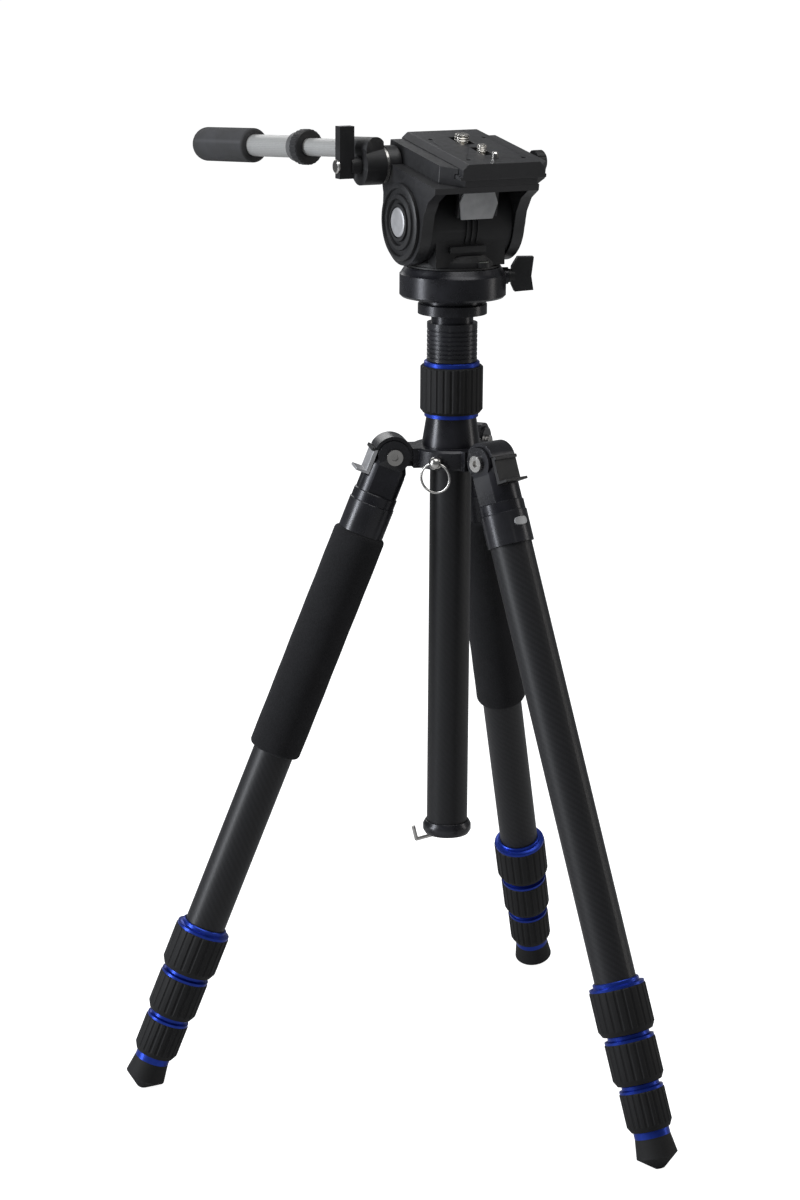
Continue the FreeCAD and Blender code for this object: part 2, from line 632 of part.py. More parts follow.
# ---------------------------------------------------------------- shoulder
def shoulder():
    """Round plate, three arms with tongues, conical collar and threaded neck."""
    plate = turned("hub_plate", [
        ("0", "hub_bottom"), ("hub_radius - 1.5", "hub_bottom"), ("hub_radius", "hub_bottom + 1.5"),
        ("hub_radius", "hub_top - 1.5"), ("hub_radius - 1.5", "hub_top"), ("0", "hub_top")])
    collar = turned("hub_collar", [
        ("0", "hub_top - 1"), ("collar_low_radius", "hub_top - 1"), ("collar_low_radius", "hub_top + 1"),
        ("collar_high_radius", "collar_top"), ("neck_outer - 0.01", "collar_top + neck_height"),
        ("0", "collar_top + neck_height")])
    pieces = [plate, collar]
    holes = [rod("hub_bore", "bore_radius", "hub_drop + hub_rise + collar_height + neck_height + 2",
                 ("0", "0", "hub_bottom - 1"))]
    for side, turn, has_foam in LEGS:
        tag = "arm_%s_" % side
        azimuth = size("first_leg_azimuth") + turn
        root = slab(tag + "root", "-hinge_radius", "arm_reach - hinge_radius", "arm_width",
                    "-hub_drop", "hub_rise")
        tongue = slab(tag + "tongue", "-hinge_radius", "0", "tongue_width", "-hub_drop", "hub_rise")
        arm = moved(tag + "bar", [join(tag + "beam", [root, tongue])], hinge_frame(azimuth))
        knuckle = cross_rod(tag + "knuckle", "tongue_radius", "-tongue_width / 2", "tongue_width / 2")
        wheel = cross_rod(tag + "wheel", "sector_radius", "-hood_width / 2", "hood_width / 2")
        upper = slab(tag + "upper", "-20", "20", "hood_width + 2", "-20", "-catch_rise - stack_gap")
        spaces = []
        for letter, sign in (("a", 1), ("b", -1)):
            low = "tongue_width / 2" if sign > 0 else "-hood_width / 2 - 1"
            high = "hood_width / 2 + 1" if sign > 0 else "-tongue_width / 2"
            spaces.append(cross_rod(tag + "space_" + letter, "eye_radius + slide_gap", low, high))
        hood = cut(tag + "hood", common(tag + "sector", wheel, upper), spaces)
        end = moved(tag + "end", [join(tag + "round", [knuckle, hood])], leg_frame(azimuth))
        hole = cross_rod(tag + "hole", "pin_radius + bond_gap", "-20", "20")
        seat = moved(tag + "seat", [hole], leg_frame(azimuth))
        pieces += [arm, end]
        holes.append(seat)
    node("shoulder", [cut("shoulder_solid", join("shoulder_mass", pieces), holes)])


def hinge_bolts():
    """Three hinge bolts with hexagon sockets, and the ball stud of the tie ring."""
    bolts = []
    for side, turn, has_foam in LEGS:
        tag = "bolt_%s_" % side
        half = "fork_width / 2 + 0.2"
        shank = cross_rod(tag + "shank", "pin_radius", "-(%s)" % half, half)
        heads = [cross_rod(tag + "head_a", "bolt_head_radius", half, half + " + bolt_head_height"),
                 cross_rod(tag + "head_b", "bolt_head_radius", "-(%s) - bolt_head_height" % half,
                           "-(%s)" % half)]
        sockets = []
        for letter, low in (("a", half + " + 0.8"), ("b", "-(%s) - bolt_head_height - 1" % half)):
            key = doc.addObject("Part::Prism", tag + "key_" + letter)
            key.Polygon = 6
            bind(key, "Circumradius", "bolt_socket")
            bind(key, "Height", "bolt_head_height + 0.2")
            sockets.append(place(key, ("0", low, "0"), ALONG_Y))
        bolt = cut(tag + "solid", join(tag + "mass", [shank] + heads), sockets)
        bolts.append(moved(tag + "placed", [bolt], leg_frame(size("first_leg_azimuth") + turn)))
    stem = rod("stud_stem", "2", "stud_reach - hub_radius + 1", ("hub_radius", "0", "0"), ALONG_X)
    ball = doc.addObject("Part::Sphere", "stud_ball")
    bind(ball, "Radius", "stud_radius")
    place(ball, ("stud_reach", "0", "0"))
    eye = cross_rod("stud_eye", "ring_wire + 1.1", "-8", "8", "stud_reach")
    stud = cut("stud_solid", join("stud_mass", [stem, ball]), [eye])
    node("hinge_bolts", bolts + [moved("stud_placed", [stud], stud_frame())])


def stud_frame():
    """Midway between the left and the front leg, X outward from the column."""
    lift = FreeCAD.Placement(vector(0, 0, size("hinge_z - 1.7")), FreeCAD.Rotation())
    return spin_z(size("first_leg_azimuth") + 60).multiply(lift)


def tie_ring():
    wire = doc.addObject("Part::Torus", "tie_ring_wire")
    bind(wire, "Radius1", "ring_radius")
    bind(wire, "Radius2", "ring_wire")
    place(wire, ("stud_reach", "0", "-ring_radius"), ALONG_X)
    node("tie_ring", [wire], stud_frame())


# ---------------------------------------------------------------- column
def column_lock():
    nut = turned("column_lock_nut", [
        ("neck_outer + slide_gap", "lock_bottom"), ("lock_low_radius", "lock_bottom"),
        ("lock_low_radius", "grip_bottom"), ("lock_high_radius", "grip_bottom"),
        ("lock_high_radius", "lock_top - 0.6"), ("lock_high_radius - 0.6", "lock_top"),
        ("bore_radius", "lock_top"), ("bore_radius", "collar_top + neck_height + 1"),
        ("neck_outer + slide_gap", "collar_top + neck_height + 1")])
    grip = turned("column_lock_grip", [
        ("lock_high_radius + bond_gap", "grip_bottom + 0.1"),
        ("lock_grip_radius - 1.9", "grip_bottom + 0.1"),
        ("lock_grip_radius", "grip_bottom + 2.5"), ("lock_grip_radius", "grip_top - 1"),
        ("lock_grip_radius - 1", "grip_top"), ("lock_high_radius + bond_gap", "grip_top")],
        flutes=("flute_radius", "lock_grip_radius + flute_radius - flute_depth",
                "column_flute_count"))
    node("column_lock", [nut, grip])


def column():
    radius = "column_od / 2"
    tube = turned("column_tube_solid", ring_outline(
        radius + " - column_wall", radius, "column_bottom", "column_seat + sleeve_height - 4"))
    node("column_tube", [tube])
    ribs = []
    for number in range(7):
        low = "column_seat + 2.2 + rib_pitch * %d" % number
        ribs += [("sleeve_radius", low), ("sleeve_radius - rib_depth", low + " + 0.25"),
                 ("sleeve_radius - rib_depth", low + " + 0.9"), ("sleeve_radius", low + " + 1.15")]
    inner = [("neck_radius", "sleeve_top"), ("neck_radius", "flange_low"),
             ("flange_radius", "flange_low"), ("flange_radius", "flange_top - 0.8"),
             ("flange_radius - 0.8", "flange_top"), ("0", "flange_top"),
             ("0", "sleeve_top - 3.8"), (radius + " + bond_gap", "sleeve_top - 3.8"),
             (radius + " + bond_gap", "column_seat")]
    top = turned("column_top_solid", [("sleeve_radius", "column_seat")] + ribs
                 + [("sleeve_radius", "sleeve_top")] + inner)
    node("column_top", [top])
    skirt = "column_bottom + cap_skirt"
    web = "column_bottom - stack_gap"
    cap = turned("column_cap_solid", [
        (radius + " + bond_gap", web), (radius + " + bond_gap", skirt), (radius + " + 1", skirt),
        ("cap_radius", "column_bottom + 1.2"), ("cap_radius", web + " - cap_web"),
        ("cap_radius - 1.6", web + " - cap_web - cap_rim"), ("12.5", web + " - cap_web - cap_rim"),
        ("12.5", web + " - cap_web"), ("hook_wire + slide_gap", web + " - cap_web"),
        ("hook_wire + slide_gap", web)])
    node("column_cap", [cap])


def hook():
    """Round wire: a straight shank through the cap, one long leg to the side, a raised tip."""
    body = doc.addObject("PartDesign::Body", "hook_solid")
    low = "column_bottom - stack_gap - cap_web"
    corners = [("0", low + " + 26"), ("0", low + " - hook_wire - 1"),
               ("-hook_reach", low + " - 1.5 - hook_fall"),
               ("-hook_reach - 2.3", low + " - 1.5 - hook_fall + hook_tip_rise")]
    points = [vector(size(x), size(z), 0) for x, z in corners]
    path = body.newObject("Sketcher::SketchObject", "hook_path")
    plane = [item for item in body.Origin.OriginFeatures if item.Role == "XZ_Plane"]
    path.AttachmentSupport = [(plane[0], "")]
    path.MapMode = "FlatFace"
    for start, end in zip(points, points[1:]):
        path.addGeometry(Part.LineSegment(start, end), False)
    for i in (0, 1):
        path.addConstraint(Sketcher.Constraint("Coincident", i, 2, i + 1, 1))
    for i, (x, z) in enumerate(corners):
        line, end = (i, 1) if i < 3 else (2, 2)
        for kind, text in (("DistanceX", x), ("DistanceY", z)):
            number = path.addConstraint(Sketcher.Constraint(kind, -1, 1, line, end, size(text)))
            path.setExpression("Constraints[%d]" % number, formula(text))
    section = body.newObject("Sketcher::SketchObject", "hook_section")
    plane = [item for item in body.Origin.OriginFeatures if item.Role == "XY_Plane"]
    section.AttachmentSupport = [(plane[0], "")]
    section.MapMode = "FlatFace"
    section.setExpression("AttachmentOffset.Base.z", formula(corners[0][1]))
    section.addGeometry(Part.Circle(vector(0, 0, 0), vector(0, 0, 1), size("hook_wire")), False)
    section.addConstraint(Sketcher.Constraint("Coincident", 0, 3, -1, 1))
    number = section.addConstraint(Sketcher.Constraint("Radius", 0, size("hook_wire")))
    section.setExpression("Constraints[%d]" % number, formula("hook_wire"))
    doc.recompute()
    pipe = body.newObject("PartDesign::AdditivePipe", "hook_pipe")
    pipe.Profile = section
    pipe.Spine = (path, ["Edge1", "Edge2", "Edge3"])
    pipe.Transition = "Round corner"
    doc.recompute()
    washer = rod("hook_washer", "5", "1.6", ("0", "0", low + " + 22"))
    node("hook", [join("hook_mass", [body, washer])])


# ---------------------------------------------------------------- head
def pan_base():
    base = turned("pan_base_solid", [
        ("0", "flange_top + 0.05"), ("pan_stub_radius", "flange_top + 0.05"), ("pan_stub_radius", "pan_low"),
        ("pan_radius - 1.5", "pan_low"), ("pan_radius", "pan_low + 1.5"),
        ("pan_radius", "pan_low + pan_height - 0.8"), ("pan_radius - 0.8", "pan_low + pan_height"),
        ("pan_radius - 3.5", "pan_top"), ("0", "pan_top")])
    boss = rod("pan_boss", "5.6", "11", ("pan_radius - 9.5", "0", "pan_low + pan_knob_height"), ALONG_X)
    placed = moved("pan_boss_placed", [boss], spin_z(size("pan_knob_azimuth")))
    node("pan_base", [join("pan_base_mass", [base, placed])])


def pan_lock():
    """Wing screw beside the pan base."""
    start = "pan_radius + 1.5 + stack_gap"
    level = "pan_low + pan_knob_height"
    neck = rod("pan_lock_neck", "4.5", "4", (start, "0", level), ALONG_X)
    wing = doc.addObject("PartDesign::Body", "pan_lock_wing")
    low, high = level + " - pan_knob_tall * 0.45", level + " + pan_knob_tall * 0.55"
    near, far = start + " + 2", start + " + 2 + pan_knob_long"
    points = [(near, level + " - 6"), (near + " + 2", low), (far, low + " + 1"),
              (far + " - 1.5", level), (far, high), (near + " + 4", high), (near, level + " + 6")]
    sketch = outline(wing, "XZ_Plane", points, "pan_lock_wing_outline")
    pad = wing.newObject("PartDesign::Pad", "pan_lock_wing_pad")
    pad.Profile = sketch
    pad.SideType = "Symmetric"
    bind(pad, "Length", "pan_knob_thick")
    doc.recompute()
    node("pan_lock", [join("pan_lock_mass", [neck, wing])], spin_z(size("pan_knob_azimuth")))


def head_housing():
    """Cross drum on a round pedestal, with stub axles, front ribs and a bubble level."""
    half = "housing_width / 2"
    pedestal = turned("pedestal", [
        ("0", "-tilt_height"), ("pedestal_radius", "-tilt_height"),
        ("pedestal_radius", "-arm_radius - slide_gap - 0.2"),
        ("%s - 0.1" % half, "-arm_radius - slide_gap - 0.2"), ("%s - 0.1" % half, "-arm_radius + 2"),
        ("%s - 3" % half, "-tilt_height + pedestal_height"),
        ("0", "-tilt_height + pedestal_height")])
    drum = cross_rod("drum", "drum_radius", "-" + half, half)
    saddle = slab("saddle", "-drum_radius + 2.5", "drum_radius - 2.5", "housing_width - 8",
                  "-tilt_height + 2", "0")
    axles = cross_rod("axles", "trunnion_radius", "-outer_face + 0.7", "outer_face - 0.7")
    foot_block = slab("foot_block", "0", "drum_radius + 0.4", "26", "-18.5", "-14.5", "-3")
    wheels = [cross_rod("rib_wheel_%d" % number, "drum_radius + rib_rise", "%g" % middle,
                        "%g" % (middle + 1.2)) for number, middle in enumerate((-4.6, -0.6, 3.4))]
    front = slab("rib_front", "0", "drum_radius + 5", "20", "-16", "6")
    ribs = common("front_ribs", join("rib_wheels", wheels), front)
    level_boss = rod("level_boss", "5.6", "3.2", ("26.5", "7.5", "-28.6"))
    mass = join("housing_mass", [pedestal, drum, saddle, axles, foot_block, level_boss, ribs])
    well = rod("level_well", "4.4", "2", ("26.5", "7.5", "-26.6"))
    housing = cut("housing_solid", mass, [well])
    vial = rod("level_vial", "4.3", "1.6", ("26.5", "7.5", "-26.5"))
    node("head_housing", [housing, vial], head_frame())


def cradle():
    """Deck on two side arms, with a front apron and an ear for the handle's rosette."""
    width = "2 * outer_face"
    side = pushed("cradle_side", "XZ_Plane", [
        ("-arm_radius", "0"), ("-arm_radius - 1.2", "12"), ("-deck_length / 2 + 8", "22"),
        ("-deck_length / 2", "deck_low"), ("-deck_length / 2", "deck_high"),
        ("deck_length / 2", "deck_high"), ("deck_length / 2", "deck_low"),
        ("deck_length / 2 - 8", "22"), ("arm_radius + 1.2", "12"), ("arm_radius", "0")], width)
    disc = cross_rod("cradle_disc", "arm_radius", "-outer_face", "outer_face")
    inside = slab("cradle_inside", "-60", "60", "2 * inner_face", "-40", "deck_low")
    shell = cut("cradle_shell", join("cradle_mass", [side, disc]), [inside])
    apron = slab("cradle_apron", "apron_back", "apron_front", "apron_width", "apron_low",
                 "deck_low + 1")
    ear = cross_rod("cradle_ear", "ear_radius", "-outer_face - 0.4", "-inner_face",
                    "-rosette_back", "rosette_up")
    whole = join("cradle_whole", [shell, apron, ear])
    axle_hole = cross_rod("cradle_axle_hole", "trunnion_radius + pin_gap", "-60", "60")
    bolt_hole = cross_rod("cradle_bolt_hole", "pin_radius + bond_gap", "-60", "-inner_face - 2",
                          "-rosette_back", "rosette_up")
    clamp_space = slab("cradle_clamp_space", "-deck_length / 2 - 0.05", "deck_length / 2 + 0.05",
                       "2 * (clamp_half + 0.05)", "deck_high", "clamp_top + 1", "plate_shift")
    holes = [axle_hole, bolt_hole, clamp_space]
    node("tilt_cradle", [cut("cradle_solid", whole, holes)], cradle_frame())
    badge = doc.addObject("PartDesign::Body", "front_badge_solid")
    points = [("-11", "9.6"), ("10", "9.6"), ("13.8", "0"), ("11", "-10.2"), ("-12", "-10.2"),
              ("-14.2", "1")]
    sketch = outline(badge, "YZ_Plane", points, "front_badge_outline")
    pad = badge.newObject("PartDesign::Pad", "front_badge_pad")
    pad.Profile = sketch
    bind(pad, "Length", "badge_thick")
    doc.recompute()
    at = vector(size("apron_front + 0.05"), 0, size("deck_low - 9.9"))
    middle = FreeCAD.Placement(at, FreeCAD.Rotation())
    node("front_badge", [badge], cradle_frame().multiply(middle))


def side_frame(sign, distance):
    """On the tilt axis, Z outward on one side of the cradle."""
    turn = FreeCAD.Rotation(vector(1, 0, 0), -90 * sign)
    return cradle_frame().multiply(FreeCAD.Placement(vector(0, sign * size(distance), 0), turn))


def side_cap():
    """Stepped rings round a plain metal disc."""
    rings = turned("side_cap_rings", [
        ("0", "0"), ("cap_ring_radius", "0"), ("cap_ring_radius", "2.2"), ("23.6", "3"),
        ("22.2", "3"), ("21.6", "1.4"), ("18.6", "1.4"), ("18", "2.8"), ("15.4", "3.4"),
        ("14.6", "1.6"), ("12.6", "1.6"), ("12.2", "3.2"), ("10.4", "3.6"), ("9.9", "1.8"), ("0", "1.8")])
    disc = turned("side_cap_disc", [
        ("0", "1.85"), ("9.6", "1.85"), ("9.6", "3"), ("8.8", "3.5"), ("0", "3.7")])
    node("side_cap", [rings, disc], side_frame(-1, "outer_face + 0.05"))


def tilt_knob():
    knob = turned("tilt_knob_solid", [
        ("0", "0"), ("knob_radius - 3", "0"), ("knob_radius - 3", "1.5"), ("knob_radius", "1.5"),
        ("knob_radius", "knob_height - 1.2"), ("knob_radius - 1.2", "knob_height"),
        ("0", "knob_height")],
        flutes=("flute_radius", "knob_radius + flute_radius - flute_depth", "column_flute_count"))
    node("tilt_knob", [knob], side_frame(1, "outer_face + stack_gap"))


def plate_clamp():
    """Floor with two undercut rails that hold the camera plate."""
    shift = FreeCAD.Placement(vector(0, size("plate_shift"), 0), FreeCAD.Rotation())
    frame = cradle_frame().multiply(shift)
    half = "deck_length / 2"
    block = slab("clamp_block", "-" + half, half, "2 * clamp_half", "deck_high + 0.05", "clamp_top")
    low = slab("clamp_low", "-60", "60", "2 * (plate_half_width + plate_flange + slide_gap)",
               "deck_high + clamp_floor", "plate_low + flange_thick + slide_gap")
    high = slab("clamp_high", "-60", "60", "2 * (plate_half_width + slide_gap)",
                "plate_low + flange_thick", "clamp_top + 1")
    corners = []
    for number, sign in enumerate(("", "-")):
        corner = box("clamp_corner_%d" % number, "2 * clamp_corner", "2 * clamp_corner",
                     "clamp_height + 2", ("0", "0", "0"), FreeCAD.Rotation(vector(0, 0, 1), 45))
        corners.append(place(corner, (half, sign + "clamp_half - clamp_corner * 1.4142", "deck_high - 1"),
                             FreeCAD.Rotation(vector(0, 0, 1), 45)))
    node("plate_clamp", [cut("clamp_solid", block, [low, high] + corners)], frame)
    turn = FreeCAD.Rotation(vector(1, 0, 0), -90)
    knob = turned("plate_knob_solid", [
        ("0", "0"), ("3.5", "0"), ("3.5", "2"), ("clamp_knob_radius", "2"),
        ("clamp_knob_radius", "clamp_knob_height - 1"), ("clamp_knob_radius - 1", "clamp_knob_height"),
        ("0", "clamp_knob_height")],
        flutes=("1.4", "clamp_knob_radius + 0.9", "10"))
    at = vector(8, size("clamp_half + stack_gap"), size("deck_high + clamp_height / 2"))
    node("plate_knob", [knob], frame.multiply(FreeCAD.Placement(at, turn)))


def camera_plate():
    """Bevelled plate with two screw slots, two camera screws and an anti-twist pin."""
    shift = FreeCAD.Placement(vector(0, size("plate_shift"), 0), FreeCAD.Rotation())
    frame = cradle_frame().multiply(shift)
    wide, foot = "plate_half_width", "plate_half_width + plate_flange"
    ledge = "plate_low + flange_thick"
    shoulder_z = "plate_top - 3.7"
    right = [(foot, "plate_low"), (foot, ledge), (wide, ledge), (wide, shoulder_z),
             (wide + " - plate_bevel", "plate_top")]
    left = [("-(%s)" % y, z) for y, z in reversed(right)]
    bar = pushed("camera_plate_bar", "YZ_Plane", right + left, "plate_length")
    cuts = []
    for tag, at, wide_slot, wide_head in (("big", "big_screw_at", "big_screw", "16"),
                                          ("small", "small_screw_at", "small_screw", "13")):
        cuts.append(slab(tag + "_slot", at + " - 10", at + " + 10", wide_slot + " + 2 * slide_gap",
                         "plate_low - 1", "plate_top + 1"))
        cuts.append(slab(tag + "_recess", at + " - 10", at + " + 10", wide_head + " + 1",
                         "plate_low - 1", "plate_low + 2.6"))
    cuts.append(rod("pin_hole", "guide_pin / 2 + slide_gap", "plate_thick + 2",
                    ("guide_pin_at", "0", "plate_low - 1")))
    for number, (x, y) in enumerate(((-22, -20), (-22, 20), (32, -20), (32, 20))):
        cuts.append(rod("plate_hole_%d" % number, "1.6", "plate_thick + 2",
                        ("%g" % x, "%g" % y, "plate_low - 1")))
    node("camera_plate", [cut("camera_plate_solid", bar, cuts)], frame)
    for tag, at, diameter, head in (("big", "big_screw_at", "big_screw", "8"),
                                    ("small", "small_screw_at", "small_screw", "6.5")):
        top = "plate_top + screw_proud"
        screw = turned(tag + "_screw_body", [
            ("0", "plate_low + 0.2"), (head + " - 0.5", "plate_low + 0.2"),
            (head + " - 0.5", "plate_low + 2.4"), (diameter + " / 2 - 0.5", "plate_low + 2.4"),
            (diameter + " / 2 - 0.5", "plate_top + 0.2"), (diameter + " / 2", "plate_top + 0.2"),
            (diameter + " / 2", top + " - 0.8"), (diameter + " / 2 - 0.8", top), ("0", top)])
        slot = slab(tag + "_screw_slot", "-8", "8", "1.2", top + " - 1.2", top + " + 1")
        at_place = FreeCAD.Placement(vector(size(at), 0, 0), FreeCAD.Rotation())
        node("screw_" + tag, [cut(tag + "_screw_solid", screw, [slot])], frame.multiply(at_place))
    pin = turned("guide_pin_solid", [
        ("0", "plate_low + 4.5"), ("guide_pin / 2", "plate_low + 4.5"),
        ("guide_pin / 2", "plate_top + 3.2"), ("guide_pin / 2 - 0.8", "plate_top + 4"),
        ("0", "plate_top + 4")])
    at_place = FreeCAD.Placement(vector(size("guide_pin_at"), 0, 0), FreeCAD.Rotation())
    node("guide_pin", [pin], frame.multiply(at_place))


# ---------------------------------------------------------------- pan handle
def rosette_frame():
    """On the rosette's bolt, Z outward from the head's right side."""
    at = vector(-size("rosette_back"), 0, size("rosette_up"))
    turn = FreeCAD.Rotation(vector(1, 0, 0), 90)
    return cradle_frame().multiply(FreeCAD.Placement(at, turn))


def handle_joint():
    """Round eye on the rosette, with the socket of the handle tube on top."""
    eye = cross_rod("handle_eye", "rosette_radius", "-(eye_far)", "-(eye_near)",
                    "-rosette_back", "rosette_up")
    tube = rod("handle_socket_outside", "handle_r1 + socket_thick", "socket_length",
               ("0", "0", "-socket_back"))
    socket = moved("handle_socket", [tube], handle_place())
    hollow = rod("handle_socket_inside", "handle_r1 + bond_gap", "socket_length",
                 ("0", "0", "-socket_back + 3"))
    bore = moved("handle_bore", [hollow], handle_place())
    hole = cross_rod("handle_hole", "pin_radius + pin_gap", "-80", "-20", "-rosette_back", "rosette_up")
    trim = cross_rod("handle_trim", "40", "-(eye_near)", "0", "-rosette_back", "rosette_up")
    spot = cross_rod("handle_spot_face", "lever_boss_radius + 1", "-(eye_far) - 20", "-(eye_far)",
                     "-rosette_back", "rosette_up")
    solid = cut("handle_joint_solid", join("handle_joint_mass", [eye, socket]),
                [bore, hole, trim, spot])
    node("handle_joint", [solid], cradle_frame())


def wing_lever():
    """Upright wing on a round boss, clamping the rosette."""
    boss_at = "eye_far + stack_gap"
    bar_at = boss_at + " + lever_boss"
    boss = rod("lever_boss_rod", "lever_boss_radius", "lever_boss + 2", ("0", "0", boss_at))
    bar = box("lever_bar", "lever_width", "lever_tall", "lever_depth",
              ("-lever_width / 2", "-lever_drop", bar_at))
    hole = rod("lever_hole", "pin_radius + pin_gap", "40", ("0", "0", boss_at + " - 1"))
    solid = cut("lever_solid", join("lever_mass", [boss, bar]), [hole])
    upright = FreeCAD.Placement(vector(0, 0, 0), FreeCAD.Rotation(vector(0, 0, 1), size("nose_down")))
    node("wing_lever", [solid], rosette_frame().multiply(upright))


def rosette_bolt():
    """Bolt with a round cap, and the metal tooth ring behind the eye."""
    start = "inner_face + 3"
    end = "eye_far + stack_gap + lever_boss + lever_depth + 0.2"
    shank = rod("rosette_shank", "pin_radius", "%s - (%s)" % (end, start), ("0", "0", start))
    head = turned("rosette_cap", [("0", end), ("4.7", end), ("4.7", end + " + 0.9"),
                                  ("3.9", end + " + 1.6"), ("0", end + " + 1.6")])
    ring = turned("rosette_ring", ring_outline(
        "pin_radius + 0.5", "ear_radius - 0.4", "outer_face + 0.45", "outer_face + 0.45 + tooth_ring"))
    node("rosette_bolt", [join("rosette_bolt_mass", [shank, head]), ring], rosette_frame())


def handle_tubes():
    frame = cradle_frame().multiply(handle_place())
    inner = turned("handle_inner_solid", ring_outline(
        "handle_r1 - tube_wall", "handle_r1", "-socket_back + 4", "handle_out_end - 8"))
    node("handle_inner", [inner], frame)
    outer = turned("handle_outer_solid", ring_outline(
        "handle_r2 - tube_wall", "handle_r2", "handle_out_at", "handle_out_end"))
    node("handle_outer", [outer], frame)
    end = "collar_start + collar_length"
    collar = turned("handle_collar_solid", [
        ("handle_r1 + slide_gap", "collar_start"), ("collar_radius - 1", "collar_start"),
        ("collar_radius", "collar_start + 1"), ("collar_radius", "collar_start + collar_flange"),
        ("collar_radius - 2", "collar_start + collar_flange"), ("collar_radius - 2", end + " - 1"),
        ("collar_radius - 3", end), ("handle_r2 + slide_gap", end),
        ("handle_r2 + slide_gap", "handle_out_at - stack_gap"),
        ("handle_r1 + slide_gap", "handle_out_at - stack_gap")],
        flutes=("1.2", "collar_radius + 0.8", "24"))
    node("handle_collar", [collar], frame)
    far = "grip_start + grip_length"
    grip = turned("handle_grip_solid", [
        ("handle_r2 + bond_gap", "grip_start"), ("grip_radius", "grip_start"), ("grip_radius", far),
        ("0", far), ("0", "handle_out_end + 0.2"), ("handle_r2 + bond_gap", "handle_out_end + 0.2")],
        rounded=[("grip_radius", far, "grip_round"), ("grip_radius", "grip_start", "2")])
    node("handle_grip", [grip], frame)


# ---------------------------------------------------------------- build, check and write
legs()
shoulder()
hinge_bolts()
tie_ring()
column_lock()
column()
hook()
pan_base()
pan_lock()
head_housing()
cradle()
side_cap()
tilt_knob()
plate_clamp()
camera_plate()
handle_joint()
wing_lever()
rosette_bolt()
handle_tubes()
doc.recompute()

for item in doc.Objects:
    if "Invalid" in item.State or "Error" in item.State:
        raise RuntimeError("%s did not build: %s" % (item.Name, item.State))
for label, group in sorted(NODES.items()):
    shape = group.Shape
    if shape.isNull() or not shape.isValid() or not shape.Solids:
        raise RuntimeError("%s has no sound shape" % label)
for label, group in sorted(NODES.items()):
    group.Shape.exportStep("parts/%s.step" % label)
print("%d nodes" % len(NODES))
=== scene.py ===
# A travel tripod with a fluid video head: camera, light, materials and fine detail.
import json
import math
import bmesh
import bpy
from mathutils import Matrix, Vector


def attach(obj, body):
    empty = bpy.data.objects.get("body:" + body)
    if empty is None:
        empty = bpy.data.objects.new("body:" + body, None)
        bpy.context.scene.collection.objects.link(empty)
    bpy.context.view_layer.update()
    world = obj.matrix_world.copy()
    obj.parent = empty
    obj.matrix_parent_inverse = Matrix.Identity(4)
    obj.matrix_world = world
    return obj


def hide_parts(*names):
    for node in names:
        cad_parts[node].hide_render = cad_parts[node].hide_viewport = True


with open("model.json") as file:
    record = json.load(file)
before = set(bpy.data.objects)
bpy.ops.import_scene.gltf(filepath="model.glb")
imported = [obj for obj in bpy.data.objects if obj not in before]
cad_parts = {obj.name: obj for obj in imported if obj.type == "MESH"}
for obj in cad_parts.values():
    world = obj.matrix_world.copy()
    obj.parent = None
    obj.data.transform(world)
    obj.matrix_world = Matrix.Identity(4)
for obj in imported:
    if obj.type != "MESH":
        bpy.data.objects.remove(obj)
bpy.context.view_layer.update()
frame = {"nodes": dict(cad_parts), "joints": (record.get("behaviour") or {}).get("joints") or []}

nodes = frame["nodes"]
joints = {joint["name"]: joint for joint in frame["joints"]}
MM = 0.001
SIDES = ("left", "front", "back")
FOAM_SIDES = ("left", "back")


# ---------------------------------------------------------------- local axes
def axes(x, y, z, origin):
    """A matrix from a local frame to the row frame."""
    turn = Matrix((x, y, z)).transposed().to_4x4()
    return Matrix.Translation(origin) @ turn


def leg_axes(side):
    """At the leg's hinge: Z down the leg, X to its outer side."""
    hinge = joints["leg_%s_hinge" % side]
    y = Vector(hinge["axis"])
    z = Vector(joints["leg_%s_lock_1_twist" % side]["axis"])
    return axes(y.cross(z), y, z, Vector(hinge["pos_m"]))


def along_joint(name):
    """At a joint's own place: Z along its axis."""
    axis = Vector(joints[name]["axis"])
    turn = axis.to_track_quat("Z", "Y").to_matrix().to_4x4()
    return Matrix.Translation(joints[name]["pos_m"]) @ turn


UPRIGHT = Matrix.Identity(4)
TILT = joints["tilt"]
HEAD = axes(Vector(TILT["axis"]).cross(Vector((0, 0, 1))), Vector(TILT["axis"]), Vector((0, 0, 1)),
            Vector(TILT["pos_m"]))
TILT_AXIS = along_joint("tilt")
HANDLE = along_joint("handle_collar_twist")


# ---------------------------------------------------------------- shader helpers
WORN_FROM, WORN_TO = 0.5, 0.62     # pointiness where wear begins and is full


